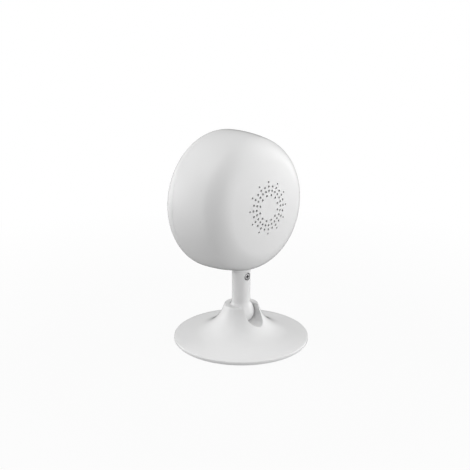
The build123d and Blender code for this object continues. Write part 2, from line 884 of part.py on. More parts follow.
# Microphone, and the rubber ring that seals it to its hole
with BuildPart(front_plane(ir_front)) as microphone:
    with PolarLocations(trim_offset, 1, start_angle=90):
        Box(mic_width, mic_length, mic_height, align=on_plane)
hand_in(microphone, "microphone")

with BuildPart(front_plane(ir_front - mic_height)) as mic_gasket:
    with PolarLocations(trim_offset, 1, start_angle=90):
        Cylinder(mic_gasket_radius, led_room - mic_height, align=on_plane)
        Cylinder(mic_hole, led_room - mic_height, align=on_plane, mode=Mode.SUBTRACT)
hand_in(mic_gasket, "mic_gasket")

# Pin header from the lighting board through the frame to the main board
with BuildPart() as ir_header:
    with BuildSketch(head_plane(ir_back)):
        with PolarLocations(header_offset, 1, start_angle=270):
            Rectangle(header_width, header_length)
    extrude(amount=main_front - ir_back)
hand_in(ir_header, "ir_header")

# Chassis plate with the main board's posts
with BuildPart() as mid_frame:
    with BuildSketch(head_plane(ir_back)):
        Circle(frame_radius)
        Circle(barrel_radius + loose, mode=Mode.SUBTRACT)
        with PolarLocations(header_offset, 1, start_angle=270):
            Rectangle(header_width + 2 * loose, header_length + 2 * loose, mode=Mode.SUBTRACT)
        for angle in shell_boss_angles:
            with PolarLocations(shell_boss_offset, 1, start_angle=angle):
                Circle(frame_screw_radius + slip, mode=Mode.SUBTRACT)
    extrude(amount=frame_thickness)
    with BuildSketch(head_plane(frame_back)):
        for angle in post_angles:
            with PolarLocations(post_offset, 1, start_angle=angle):
                Circle(post_radius)
    extrude(amount=post_height)
    with BuildSketch(head_plane(main_front)):
        for angle in post_angles:
            with PolarLocations(post_offset, 1, start_angle=angle):
                Circle(board_screw_radius + slip)
    extrude(amount=main_board_thickness - board_screw_length - loose, mode=Mode.SUBTRACT)
hand_in(mid_frame, "mid_frame")

# Screws of the chassis plate
with BuildPart(head_plane(ir_back)) as frame_screws:
    for angle in shell_boss_angles:
        with PolarLocations(shell_boss_offset, 1, start_angle=angle):
            Cylinder(frame_screw_radius, frame_screw_length, align=on_plane)
            with Locations((0, 0, -frame_screw_head_height)):
                Cylinder(frame_screw_head, frame_screw_head_height, align=on_plane)
hand_in(frame_screws, "frame_screws")

# Main board: a disc with a tab to the head's side for each socket and the switch
with BuildPart() as main_board:
    with BuildSketch(head_plane(main_front)):
        Circle(main_board_radius)
        for angle, width, reach in board_tabs:
            with PolarLocations(reach / 2, 1, start_angle=angle):
                Rectangle(reach, width + 2 * tab_margin)
        for angle in post_angles:
            with PolarLocations(post_offset, 1, start_angle=angle):
                Circle(board_screw_radius + slip, mode=Mode.SUBTRACT)
    extrude(amount=main_board_thickness)
hand_in(main_board, "main_board")

# Screws of the main board
with BuildPart(head_plane(main_back)) as board_screws:
    for angle in post_angles:
        with PolarLocations(post_offset, 1, start_angle=angle):
            Cylinder(board_screw_head, board_screw_head_height, align=on_plane)
            with Locations((0, 0, -board_screw_length)):
                Cylinder(board_screw_radius, board_screw_length, align=on_plane)
hand_in(board_screws, "board_screws")

# Processor and its shield can
with BuildPart() as processor:
    with BuildSketch(head_plane(main_back)):
        Rectangle(processor_size, processor_size)
    extrude(amount=processor_height)
hand_in(processor, "processor")

with BuildPart() as shield_can:
    with BuildSketch(head_plane(main_back)):
        Rectangle(can_size, can_size)
    extrude(amount=can_height)
    with BuildSketch(head_plane(main_back)):
        Rectangle(can_size - 2 * can_wall, can_size - 2 * can_wall)
    extrude(amount=can_height - can_wall, mode=Mode.SUBTRACT)
hand_in(shield_can, "shield_can")

# Antenna strip on the chassis plate
with BuildPart() as wifi_antenna:
    with BuildSketch(head_plane(frame_back)):
        with PolarLocations(antenna_offset, 1, start_angle=antenna_angle):
            Rectangle(antenna_width, antenna_length)
    extrude(amount=antenna_thickness)
hand_in(wifi_antenna, "wifi_antenna")

# Power socket: a drawn shell, and the insert that carries its tongue
usb_inside = usb_width - 2 * usb_wall
usb_clear = usb_height - 2 * usb_wall
with BuildPart() as usb_socket:
    with BuildSketch(side_plane(usb_angle, usb_y, usb_mouth)):
        SlotOverall(usb_width, usb_height)
        SlotOverall(usb_inside, usb_clear, mode=Mode.SUBTRACT)
    extrude(amount=-usb_depth)
hand_in(usb_socket, "usb_socket")

with BuildPart() as usb_tongue:
    with BuildSketch(side_plane(usb_angle, usb_y, usb_mouth - usb_depth)):
        SlotOverall(usb_inside, usb_clear)
    extrude(amount=usb_back)
    with BuildSketch(side_plane(usb_angle, usb_y, usb_mouth - usb_depth)):
        Rectangle(tongue_width, tongue_thickness)
    extrude(amount=usb_depth - usb_tongue_short)
hand_in(usb_tongue, "usb_tongue")

# Memory card socket
with BuildPart() as card_socket:
    with BuildSketch(side_plane(card_angle, card_y, card_mouth)):
        Rectangle(card_width, card_height)
    extrude(amount=-card_depth)
    with BuildSketch(side_plane(card_angle, card_y, card_mouth)):
        Rectangle(card_width - 2 * card_rail, card_slot_height)
    extrude(amount=card_rail - card_depth, mode=Mode.SUBTRACT)
hand_in(card_socket, "card_socket")

# Push switch, its plunger and the button that presses it
with BuildPart() as tact_switch:
    with BuildSketch(side_plane(reset_angle, switch_y, switch_face)):
        Rectangle(switch_size, switch_height)
    extrude(amount=-switch_depth)
    with BuildSketch(side_plane(reset_angle, switch_y, switch_face)):
        Circle(plunger_radius + slip)
    extrude(amount=-plunger_length, mode=Mode.SUBTRACT)
hand_in(tact_switch, "tact_switch")

with BuildPart() as switch_plunger:
    with BuildSketch(side_plane(reset_angle, switch_y, button_foot)):
        Circle(plunger_radius)
    extrude(amount=-plunger_length)
hand_in(switch_plunger, "switch_plunger")

with BuildPart() as reset_button:
    with BuildSketch(side_plane(reset_angle, switch_y, button_foot)):
        Circle(button_flange)
    extrude(amount=button_flange_thickness)
    with BuildSketch(side_plane(reset_angle, switch_y, button_foot)):
        Circle(button_radius)
    extrude(amount=button_face - button_foot)
hand_in(reset_button, "reset_button")

# Cloth that keeps dust out of the sound holes, and the foam ring behind it
with BuildPart() as dust_mesh:
    with BuildSketch(head_plane(mesh_front)):
        Circle(speaker_radius)
    extrude(amount=mesh_thickness)
hand_in(dust_mesh, "dust_mesh")

with BuildPart() as speaker_gasket:
    with BuildSketch(head_plane(gasket_front)):
        Circle(speaker_radius)
        Circle(speaker_radius - gasket_width, mode=Mode.SUBTRACT)
    extrude(amount=gasket_thickness)
hand_in(speaker_gasket, "speaker_gasket")

# Loudspeaker frame: a flange, a tapering basket and a floor for the magnet
with BuildPart() as speaker_frame:
    with BuildSketch(head_half):
        with BuildLine():
            Polyline(
                (gasket_front, speaker_radius),
                (flange_front, speaker_radius),
                (flange_front, speaker_mouth + basket_wall),
                (flange_front - basket_step, speaker_mouth + basket_wall),
                (basket_front, magnet_radius + basket_wall),
                (basket_front, coil_radius + coil_gap),
                (basket_front + basket_wall, coil_radius + coil_gap),
                (basket_front + basket_wall, magnet_radius),
                (flange_front - basket_step, speaker_mouth),
                (gasket_front, speaker_mouth),
                close=True,
            )
        make_face()
    revolve(axis=head_axis)
hand_in(speaker_frame, "speaker_frame")

# Magnet with the ring gap that the coil moves in
with BuildPart() as speaker_magnet:
    with BuildSketch(head_half):
        add(block(magnet_front, basket_front, 0, magnet_radius))
        add(
            block(gap_front, basket_front, coil_radius - coil_wall - coil_gap, coil_radius + coil_gap),
            mode=Mode.SUBTRACT,
        )
    revolve(axis=head_axis)
hand_in(speaker_magnet, "speaker_magnet")

# Cone with its cap, and the coil on its neck
with BuildPart() as speaker_cone:
    with BuildSketch(head_half):
        with BuildLine():
            Polyline(
                (cone_foot, 0),
                (cone_foot, coil_radius),
                (cone_rim, cone_radius),
                (cone_rim + cone_thickness, cone_radius),
                (cone_foot + cone_thickness, coil_radius),
                (cone_foot + cone_thickness, 0),
                close=True,
            )
        make_face()
    revolve(axis=head_axis)
hand_in(speaker_cone, "speaker_cone")

with BuildPart() as voice_coil:
    with BuildSketch(head_plane(coil_front)):
        Circle(coil_radius)
        Circle(coil_radius - coil_wall, mode=Mode.SUBTRACT)
    extrude(amount=coil_length)
hand_in(voice_coil, "voice_coil")

# Two leads from the loudspeaker's flange to the main board, with a little slack
with BuildPart() as speaker_leads:
    for angle in lead_angles:
        with BuildLine(lead_plane(angle)) as route:
            FilletPolyline(
                (lead_offset, flange_front),
                (lead_offset, flange_front - lead_straight),
                (lead_offset + lead_slack, (flange_front + main_back) / 2),
                (lead_offset, main_back + lead_straight),
                (lead_offset, main_back),
                radius=lead_bend,
            )
        with BuildSketch(Plane(origin=route.line @ 0, z_dir=route.line % 0)):
            Circle(lead_radius)
        sweep(path=route.line)
hand_in(speaker_leads, "speaker_leads")
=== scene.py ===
"""Dressed model of a round smart-home camera with a rear loudspeaker, on a ball-jointed stand.

Lengths are in metres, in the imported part's own frame: +Z up, the head's front to -Y, its loudspeaker to +Y
and its own left to +X. Profiles are lists of (along, out): a place along a spindle and a distance from it.
"""

import logging
import math
from dataclasses import dataclass
from enum import Enum
from typing import Callable, Iterable, Optional, Sequence

import bmesh
import bpy
from mathutils import Matrix, Vector


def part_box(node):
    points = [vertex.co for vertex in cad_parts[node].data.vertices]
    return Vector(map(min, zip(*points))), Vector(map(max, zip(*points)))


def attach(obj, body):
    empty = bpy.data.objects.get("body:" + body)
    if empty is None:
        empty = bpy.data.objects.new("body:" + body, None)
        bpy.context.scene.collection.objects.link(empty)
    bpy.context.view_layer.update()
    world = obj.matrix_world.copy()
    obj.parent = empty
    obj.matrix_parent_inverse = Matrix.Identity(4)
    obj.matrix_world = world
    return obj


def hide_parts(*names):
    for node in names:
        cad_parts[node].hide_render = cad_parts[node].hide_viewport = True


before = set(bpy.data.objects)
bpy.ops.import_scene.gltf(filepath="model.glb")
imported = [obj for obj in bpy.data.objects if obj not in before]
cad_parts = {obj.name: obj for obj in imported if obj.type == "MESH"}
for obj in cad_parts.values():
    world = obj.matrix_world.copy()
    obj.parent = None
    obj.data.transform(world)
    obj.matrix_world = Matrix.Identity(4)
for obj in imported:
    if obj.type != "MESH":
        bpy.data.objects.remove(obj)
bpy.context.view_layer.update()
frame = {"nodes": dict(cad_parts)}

MM = 0.001
MERGE = 0.0005 * MM
SHARP = math.radians(32.0)
LOG = logging.getLogger("dressing")

Point = Sequence[float]
Profile = list[tuple[float, float]]
Span = tuple[float, float]
Colour = tuple[float, float, float]


class Body(Enum):
    """The bodies that pieces ride on."""

    BASE = "base"
    NECK = "neck"
    HEAD = "head"
    RESET = "reset"


class Slot(Enum):
    """The record's material slot names; no piece here takes its finish from them."""

    WHITE = "white_plastic"
    WINDOW = "black_window"
    DARK = "dark_plastic"
    TRIM = "trim_metal"
    GLASS = "lens_glass"
    STEEL = "steel"
    RUBBER = "rubber"
    LAMP = "lamp_clear"


class Carving(Enum):
    """Ways in which one solid works on another."""

    CUT = "DIFFERENCE"
    JOIN = "UNION"


# Shader groups


class Wiring:
    """A node tree, with short ways to add and link its nodes."""

    def __init__(self, tree: bpy.types.NodeTree) -> None:
        """Take a tree and empty it."""
        self.tree = tree
        self.tree.nodes.clear()

    def add(self, kind: str, **settings: object) -> bpy.types.Node:
        """Add a node.

        Args:
            kind: the node's type name, without its ShaderNode prefix.
            settings: properties of the node, and values of its inputs by their names in small letters.

        Returns:
            The new node.
        """
        node = self.tree.nodes.new("ShaderNode" + kind)
        sockets = {socket.name.lower().replace(" ", "_"): socket for socket in reversed(node.inputs)}
        for key, value in settings.items():
            if key in sockets:
                sockets[key].default_value = value
            else:
                setattr(node, key, value)
        return node

    def join(self, start: bpy.types.NodeSocket, end: bpy.types.NodeSocket) -> None:
        """Link one socket to another."""
        self.tree.links.new(start, end)


class Effect(Wiring):
    """A shader node group that several finishes share."""

    def __init__(self, name: str, inputs: dict[str, float], outputs: Sequence[str]) -> None:
        """Make a group with a Vector input, number inputs and number outputs.

        Args:
            name: the group's name.
            inputs: each number input with its usual value.
            outputs: the number outputs.
        """
        super().__init__(bpy.data.node_groups.new(name, "ShaderNodeTree"))
        face = self.tree.interface
        face.new_socket("Vector", in_out="INPUT", socket_type="NodeSocketVector")
        for label, value in inputs.items():
            face.new_socket(label, in_out="INPUT", socket_type="NodeSocketFloat").default_value = value
        for label in outputs:
            face.new_socket(label, in_out="OUTPUT", socket_type="NodeSocketFloat")
        self.source = self.tree.nodes.new("NodeGroupInput").outputs
        self.sink = self.tree.nodes.new("NodeGroupOutput").inputs

    def texture(
        self, kind: str, scale: str, place: Optional[bpy.types.NodeSocket] = None, **settings: object
    ) -> bpy.types.Node:
        """Add a texture whose scale is one of the group's inputs.

        Args:
            kind: the texture node's type name, without its prefix.
            scale: the group's input that sets the scale.
            place: coordinates, if not the group's own Vector.
            settings: as for add.

        Returns:
            The texture node.
        """
        node = self.add(kind, **settings)
        self.join(place or self.source["Vector"], node.inputs["Vector"])
        self.join(self.source[scale], node.inputs["Scale"])
        return node


def mould_grain() -> Effect:
    """Moulded plastic: a fine spark-eroded grain, a slow change of tone and faint marks of handling.

    Returns:
        A group with Height, Tone and Handling outputs, each about 0 to 1.
    """
    scales = {"Grain": 4200.0, "Cloud": 38.0, "Touch": 150.0}
    effect = Effect("mould_grain", scales, ("Height", "Tone", "Handling"))
    details = {"Grain": ("Height", 2.0), "Cloud": ("Tone", 3.0), "Touch": ("Handling", 4.0)}
    for scale, (output, detail) in details.items():
        noise = effect.texture("TexNoise", scale, detail=detail, roughness=0.55)
        effect.join(noise.outputs["Fac"], effect.sink[output])
    return effect


def brushed_lines() -> Effect:
    """Metal drawn or brushed along one way: long thin lines and a slow change of tone.

    Returns:
        A group with Lines and Tone outputs, each about 0 to 1.
    """
    effect = Effect("brushed_lines", {"Fineness": 3000.0, "Cloud": 260.0}, ("Lines", "Tone"))
    stretch = effect.add("Mapping", scale=(0.06, 1.0, 1.0))
    effect.join(effect.source["Vector"], stretch.inputs["Vector"])
    lines = effect.texture("TexNoise", "Fineness", stretch.outputs["Vector"], detail=2.0)
    cloud = effect.texture("TexNoise", "Cloud", detail=3.0)
    effect.join(lines.outputs["Fac"], effect.sink["Lines"])
    effect.join(cloud.outputs["Fac"], effect.sink["Tone"])
    return effect


def crossed_threads() -> Effect:
    """Open cloth: two sets of threads that cross in the head's upright plane.

    Returns:
        A group with a Thread output, 1 on a thread and 0 between threads.
    """
    effect = Effect("crossed_threads", {"Pitch": 520.0}, ("Thread",))
    joiner = effect.add("Math", operation="MAXIMUM")
    bands = {"wave_type": "BANDS", "distortion": 0.4, "detail": 1.0}
    for place, way in enumerate(("X", "Z")):
        wave = effect.texture("TexWave", "Pitch", bands_direction=way, **bands)
        effect.join(wave.outputs["Fac"], joiner.inputs[place])
    effect.join(joiner.outputs["Value"], effect.sink["Thread"])
    return effect


def board_tracks() -> Effect:
    """Printed board: a pattern of tracks under the board's clear coat.

    Returns:
        A group with Track and Tone outputs, each 0 to 1.
    """
    effect = Effect("board_tracks", {"Pitch": 420.0, "Cloud": 90.0}, ("Track", "Tone"))
    cells = effect.texture("TexVoronoi", "Pitch", feature="F1", distance="MANHATTAN")
    edge = effect.add("ValToRGB")
    for stop, position in zip(edge.color_ramp.elements, (0.42, 0.5)):
        stop.position = position
    cloud = effect.texture("TexNoise", "Cloud", detail=2.0)
    effect.join(cells.outputs["Distance"], edge.inputs["Fac"])
    effect.join(edge.outputs["Color"], effect.sink["Track"])
    effect.join(cloud.outputs["Fac"], effect.sink["Tone"])
    return effect


EFFECTS: dict[str, Callable[[], Effect]] = {
    "mould_grain": mould_grain,
    "brushed_lines": brushed_lines,
    "crossed_threads": crossed_threads,
    "board_tracks": board_tracks,
}


def effect_tree(name: str) -> bpy.types.NodeTree:
    """Find a shared group, or build it the first time.

    Args:
        name: a key of EFFECTS.

    Returns:
        The group's node tree.
    """
    kept = bpy.data.node_groups.get(name)
    return kept if kept else EFFECTS[name]().tree


# Finishes


class Surface(Wiring):
    """One material's nodes: a Principled shader, Object coordinates and short ways to feed them."""

    def __init__(self, name: str) -> None:
        """Start a material with a Principled shader.

        Args:
            name: the material's name.
        """
        self.material = bpy.data.materials.new(name)
        self.material.use_nodes = True
        super().__init__(self.material.node_tree)
        self.shader = self.add("BsdfPrincipled")
        self.place = self.add("TexCoord").outputs["Object"]
        self.join(self.shader.outputs["BSDF"], self.add("OutputMaterial").inputs["Surface"])

    def set(self, **values: object) -> None:
        """Set the Principled shader's own sockets, named with underscores for spaces."""
        for key, value in values.items():
            self.shader.inputs[key.replace("_", " ")].default_value = value

    def effect(self, name: str, **values: float) -> bpy.types.NodeOutputs:
        """Place a shared group in this material, fed with Object coordinates.

        Args:
            name: a key of EFFECTS.
            values: the group's number inputs.

        Returns:
            The group node's outputs.
        """
        node = self.add("Group", node_tree=effect_tree(name))
        self.join(self.place, node.inputs["Vector"])
        for key, value in values.items():
            node.inputs[key].default_value = value
        return node.outputs

    def tint(self, mask: bpy.types.NodeSocket, colour: Colour, tones: Span) -> None:
        """Vary the surface's colour by a mask.

        Args:
            mask: about 0 to 1.
            colour: the middle colour, linear.
            tones: factors on it where the mask is 0 and 1.
        """
        mix = self.add("Mix", data_type="RGBA")
        ends = [socket for socket in mix.inputs if socket.type == "RGBA"]
        for end, tone in zip(ends, tones):
            end.default_value = (*(min(1.0, channel * tone) for channel in colour), 1.0)
        self.join(mask, mix.inputs["Factor"])
        result = next(socket for socket in mix.outputs if socket.type == "RGBA")
        self.join(result, self.shader.inputs["Base Color"])

    def wear(self, mask: bpy.types.NodeSocket, low: float, high: float) -> None:
        """Vary the surface's roughness by a mask.

        Args:
            mask: about 0 to 1.
            low: roughness where the mask is 0.
            high: roughness where the mask is 1.
        """
        spread = self.add("MapRange", to_min=low, to_max=high)
        self.join(mask, spread.inputs["Value"])
        self.join(spread.outputs["Result"], self.shader.inputs["Roughness"])

    def relief(self, height: bpy.types.NodeSocket, depth: float, strength: float) -> None:
        """Raise the surface a little by a height.

        Args:
            height: about 0 to 1.
            depth: the relief's depth in metres.
            strength: how much of it shows, 0 to 1.
        """
        bump = self.add("Bump", distance=depth, strength=strength)
        self.join(height, bump.inputs["Height"])
        self.join(bump.outputs["Normal"], self.shader.inputs["Normal"])


@dataclass(frozen=True)
class Finish:
    """A named finish. Each kind builds its own nodes in dress."""

    name: str
    colour: Colour
    roughness: float

    def dress(self, surface: Surface) -> None:
        """Fill in a new material's nodes."""
        raise NotImplementedError

    def material(self) -> bpy.types.Material:
        """Find this finish's material, or build it the first time.

        Returns:
            The material.
        """
        kept = bpy.data.materials.get(self.name)
        if kept:
            return kept
        surface = Surface(self.name)
        self.dress(surface)
        return surface.material


@dataclass(frozen=True)
class MouldedPlastic(Finish):
    """Injection-moulded plastic with a fine grain, and an optional grey coat tint that paints shade on it
    seen edge-on.
    """

    grain: float = 4200.0
    depth: float = 0.012 * MM
    strength: float = 0.25
    variation: float = 0.02
    handling: float = 0.05
    level: float = 0.5
    edge_shade_tint: Optional[float] = None

    def dress(self, surface: Surface) -> None:
        """Grain in the normal, slow tone in the colour, handling marks in the roughness.

        Args:
            surface: the new material's nodes.
        """
        grain = surface.effect("mould_grain", Grain=self.grain)
        surface.tint(grain["Tone"], self.colour, (1 - self.variation, 1 + self.variation))
        surface.wear(grain["Handling"], self.roughness - self.handling, self.roughness + self.handling)
        surface.relief(grain["Height"], self.depth, self.strength)
        surface.set(IOR=1.49, Specular_IOR_Level=self.level)
        # Painted shade: a coat with no reflection of its own and a grey tint darkens the surface the more
        # edge-on it is seen, which draws dark outlines.
        if self.edge_shade_tint:
            tint = (self.edge_shade_tint, self.edge_shade_tint, self.edge_shade_tint, 1.0)
            surface.set(Coat_Weight=1.0, Coat_Tint=tint, Coat_IOR=1.0, Coat_Roughness=0.5)


@dataclass(frozen=True)
class GlossPanel(Finish):
    """Hard gloss plastic, clear-coated, with faint wipe marks."""

    tones: Span = (0.8, 1.25)
    wipes: Span = (0.6, 1.6)

    def dress(self, surface: Surface) -> None:
        """Wipe marks in the roughness and a smooth coat over all.

        Args:
            surface: the new material's nodes.
        """
        marks = surface.effect("mould_grain", Grain=900.0, Cloud=60.0, Touch=90.0)
        surface.tint(marks["Tone"], self.colour, self.tones)
        surface.wear(marks["Handling"], *(self.roughness * wipe for wipe in self.wipes))
        surface.set(IOR=1.5, Coat_Weight=0.2, Coat_Roughness=0.03)


@dataclass(frozen=True)
class BrushedMetal(Finish):
    """Bare metal with fine drawn lines."""

    fineness: float = 3000.0
    tones: Span = (0.85, 1.12)
    drag: Span = (-0.08, 0.1)

    def dress(self, surface: Surface) -> None:
        """Lines in the roughness and the normal, slow tone in the colour.

        Args:
            surface: the new material's nodes.
        """
        lines = surface.effect("brushed_lines", Fineness=self.fineness)
        surface.tint(lines["Tone"], self.colour, self.tones)
        surface.wear(lines["Lines"], *(self.roughness + change for change in self.drag))
        surface.relief(lines["Lines"], depth=0.01 * MM, strength=0.2)
        surface.set(Metallic=1.0)


@dataclass(frozen=True)
class OpticalGlass(Finish):
    """Coated lens glass."""

    tones: Span = (0.95, 1.0)
    smear: float = 0.02

    def dress(self, surface: Surface) -> None:
        """Clear glass with a thin coating that tints its reflections.

        Args:
            surface: the new material's nodes.
        """
        marks = surface.effect("mould_grain", Touch=220.0)
        surface.tint(marks["Tone"], self.colour, self.tones)
        surface.wear(marks["Handling"], self.roughness, self.roughness + self.smear)
        surface.set(IOR=1.52, Transmission_Weight=1.0, Thin_Film_Thickness=420.0, Thin_Film_IOR=1.38)


@dataclass(frozen=True)
class SoftRubber(Finish):
    """Matt rubber with a coarse grain."""

    tones: Span = (0.8, 1.3)
    handling: float = 0.06

    def dress(self, surface: Surface) -> None:
        """Coarse grain in the normal, dusty tone in the colour.

        Args:
            surface: the new material's nodes.
        """
        grain = surface.effect("mould_grain", Grain=2400.0, Cloud=120.0)
        surface.tint(grain["Tone"], self.colour, self.tones)
        surface.wear(grain["Handling"], self.roughness - self.handling, self.roughness + self.handling)
        surface.relief(grain["Height"], depth=0.04 * MM, strength=0.5)
        surface.set(IOR=1.5, Specular_IOR_Level=0.3)


@dataclass(frozen=True)
class PrintedBoard(Finish):
    """Clear-coated circuit board with tracks under the coat."""

    tones: Span = (0.8, 1.7)
    handling: float = 0.06

    def dress(self, surface: Surface) -> None:
        """Tracks in the colour and the normal.

        Args:
            surface: the new material's nodes.
        """
        tracks = surface.effect("board_tracks")
        surface.tint(tracks["Track"], self.colour, self.tones)
        surface.wear(tracks["Tone"], self.roughness - self.handling, self.roughness + self.handling)
        surface.relief(tracks["Track"], depth=0.03 * MM, strength=0.5)
        surface.set(Coat_Weight=0.3, Coat_Roughness=0.15)


@dataclass(frozen=True)
class OpenCloth(Finish):
    """Fine woven cloth."""

    pitch: float = 520.0
    tones: Span = (0.3, 1.3)

    def dress(self, surface: Surface) -> None:
        """Threads in the colour and the normal.

        Args:
            surface: the new material's nodes.
        """
        weave = surface.effect("crossed_threads", Pitch=self.pitch)
        surface.tint(weave["Thread"], self.colour, self.tones)
        surface.relief(weave["Thread"], depth=0.05 * MM, strength=0.7)
        surface.set(Roughness=self.roughness, Sheen_Weight=0.15)


# The white shell's edge shade tint is painted shade: it darkens the plastic seen edge-on into dark outlines.
WHITE_SHELL = MouldedPlastic("white_shell", (0.9, 0.9, 0.9), roughness=0.46, level=0.4, edge_shade_tint=0.93)
BLACK_WINDOW = GlossPanel("black_window_gloss", (0.012, 0.012, 0.014), roughness=0.06)
LAMP_SPOTS = GlossPanel("lamp_spot_gloss", (0.02, 0.008, 0.009), roughness=0.08)
DARK_PLASTIC = MouldedPlastic(
    "dark_plastic_matt", (0.03, 0.03, 0.032), roughness=0.55, strength=0.4, variation=0.15
)
LENS_BLACK = MouldedPlastic("lens_black", (0.014, 0.014, 0.015), roughness=0.35, strength=0.3, variation=0.2)
TRIM_METAL = BrushedMetal("trim_metal_satin", (0.32, 0.33, 0.35), roughness=0.3)
LENS_GLASS = OpticalGlass("lens_glass_coated", (0.82, 0.86, 0.95), roughness=0.0)
STEEL = BrushedMetal("steel_bare", (0.5, 0.5, 0.51), roughness=0.32)
SCREW_STEEL = BrushedMetal("screw_steel", (0.42, 0.42, 0.425), roughness=0.3, fineness=5200.0)
MAGNET_IRON = BrushedMetal("magnet_iron", (0.2, 0.2, 0.21), roughness=0.5)
FOOT_RUBBER = SoftRubber("foot_rubber", (0.05, 0.05, 0.05), roughness=0.8)
SOFT_BLACK = SoftRubber("soft_black", (0.03, 0.03, 0.03), roughness=0.85)
BOARD_GREEN = PrintedBoard("board_green", (0.012, 0.042, 0.024), roughness=0.4)
BOARD_AMBER = PrintedBoard("board_amber", (0.12, 0.1, 0.04), roughness=0.4)
CHIP_BLACK = MouldedPlastic("chip_black", (0.035, 0.035, 0.038), roughness=0.6, strength=0.5, variation=0.2)
CAP_METAL = BrushedMetal("cap_metal", (0.6, 0.58, 0.5), roughness=0.35)
LAMP_CLEAR = GlossPanel("lamp_clear_gloss", (0.72, 0.73, 0.75), roughness=0.12)
MILKY_GUIDE = MouldedPlastic("milky_guide", (0.74, 0.76, 0.78), roughness=0.22, strength=0.1)
PLUNGER_TAN = MouldedPlastic("plunger_tan", (0.55, 0.42, 0.24), roughness=0.5)
DUST_CLOTH = OpenCloth("dust_cloth", (0.04, 0.04, 0.04), roughness=0.9)
CONE_PAPER = SoftRubber("cone_paper", (0.1, 0.1, 0.1), roughness=0.8)
COIL_COPPER = BrushedMetal("coil_copper", (0.72, 0.36, 0.18), roughness=0.35)
LEAD_RED = SoftRubber("lead_red", (0.35, 0.04, 0.04), roughness=0.5)


# Modelling


def arc(centre: Point, radius: float, start: float, end: float, steps: int) -> Profile:
    """Points of a profile along an arc, both ends included.

    Args:
        centre: the arc's centre, (along, out).
        radius: the arc's radius.
        start: first angle in degrees, from the along direction towards out.
        end: last angle in degrees.
        steps: number of chords.

    Returns:
        The arc's points in order.
    """
    turns = [math.radians(start + (end - start) * step / steps) for step in range(steps + 1)]
    return [(centre[0] + radius * math.cos(turn), centre[1] + radius * math.sin(turn)) for turn in turns]


def heading(start: Point, end: Point) -> float:
    """Return the angle of the way from one profile point to another, in degrees."""
    return math.degrees(math.atan2(end[1] - start[1], end[0] - start[0]))


@dataclass(frozen=True)
class Spindle:
    """A line that profiles are spun about."""

    origin: tuple[float, float, float]
    direction: tuple[float, float, float]
    out: tuple[float, float, float]

    def place(self, along: float, out: float) -> Vector:
        """Return a profile point's place before the spin."""
        return Vector(self.origin) + Vector(self.direction) * along + Vector(self.out) * out

    def spin(
        self, profile: Profile, closed: bool = False, segments: int = 128, merge: bool = True
    ) -> bmesh.types.BMesh:
        """Spin a profile all the way round.

        Args:
            profile: the points in order.
            closed: join the last point to the first.
            segments: number of steps round the spindle.
            merge: close the spin's seam.

        Returns:
            The spun mesh, facing outwards where it is closed.
        """
        mesh = bmesh.new()
        points = [mesh.verts.new(self.place(along, out)) for along, out in profile]
        pairs = list(zip(points, points[1:]))
        if closed:
            pairs.append((points[-1], points[0]))
        edges = [mesh.edges.new(pair) for pair in pairs]
        bmesh.ops.spin(
            mesh,
            geom=points + edges,
            cent=self.origin,
            axis=self.direction,
            angle=math.tau,
            steps=segments,
            use_merge=merge,
        )
        if merge:
            tidy(mesh)
        return mesh


def tidy(mesh: bmesh.types.BMesh) -> None:
    """Merge doubled points and turn all faces outwards.

    Args:
        mesh: the mesh to clean up.
    """
    bmesh.ops.remove_doubles(mesh, verts=mesh.verts, dist=MERGE)
    bmesh.ops.dissolve_degenerate(mesh, edges=mesh.edges, dist=MERGE)
    bmesh.ops.recalc_face_normals(mesh, faces=mesh.faces)


def mesh_data(name: str, mesh: bmesh.types.BMesh) -> bpy.types.Mesh:
    """Turn a working mesh into mesh data, and free it.

    Args:
        name: the data's name.
        mesh: the working mesh.

    Returns:
        The mesh data.
    """
    data = bpy.data.meshes.new(name)
    mesh.to_mesh(data)
    mesh.free()
    return data


def new_object(name: str, data: bpy.types.ID) -> bpy.types.Object:
    """Put data into the scene.

    Args:
        name: the object's name.
        data: its mesh, camera or lamp.

    Returns:
        The object, linked to the scene.
    """
    thing = bpy.data.objects.new(name, data)
    bpy.context.scene.collection.objects.link(thing)
    return thing


def carve(mesh: bmesh.types.BMesh, tool: bmesh.types.BMesh, way: Carving = Carving.CUT) -> bmesh.types.BMesh:
    """Cut one closed solid with another, or join them.

    Args:
        mesh: the solid to work on, freed here.
        tool: the other solid, freed here.
        way: what is done.

    Returns:
        The new solid.
    """
    holder, cutter = (new_object("scratch", mesh_data("scratch", solid)) for solid in (mesh, tool))
    modifier = holder.modifiers.new("carve", "BOOLEAN")
    modifier.operation = way.value
    modifier.solver = "EXACT"
    modifier.object = cutter
    result = bmesh.new()
    result.from_object(holder, bpy.context.evaluated_depsgraph_get())
    for passing in (holder, cutter):
        data = passing.data
        bpy.data.objects.remove(passing)
        bpy.data.meshes.remove(data)
    bmesh.ops.remove_doubles(result, verts=result.verts, dist=MERGE)
    return result


def merged(meshes: Iterable[bmesh.types.BMesh]) -> bmesh.types.BMesh:
    """Put several meshes into one, and free them.

    Args:
        meshes: the meshes, each closed and apart from the rest.

    Returns:
        One mesh with all of them.
    """
    whole = bmesh.new()
    for mesh in meshes:
        data = mesh_data("scratch", mesh)
        whole.from_mesh(data)
        bpy.data.meshes.remove(data)
    return whole


def rod(place: Matrix, radius: float, length: float, segments: int = 48) -> bmesh.types.BMesh:
    """A closed cylinder.

    Args:
        place: its start and direction, along the matrix's own Z.
        radius: its radius.
        length: its length.
        segments: steps round it.

    Returns:
        The mesh.
    """
    mesh = bmesh.new()
    middle = Matrix.Translation((0, 0, length / 2))
    bmesh.ops.create_cone(
        mesh,
        cap_ends=True,
        segments=segments,
        radius1=radius,
        radius2=radius,
        depth=length,
        matrix=place @ middle,
    )
    return mesh


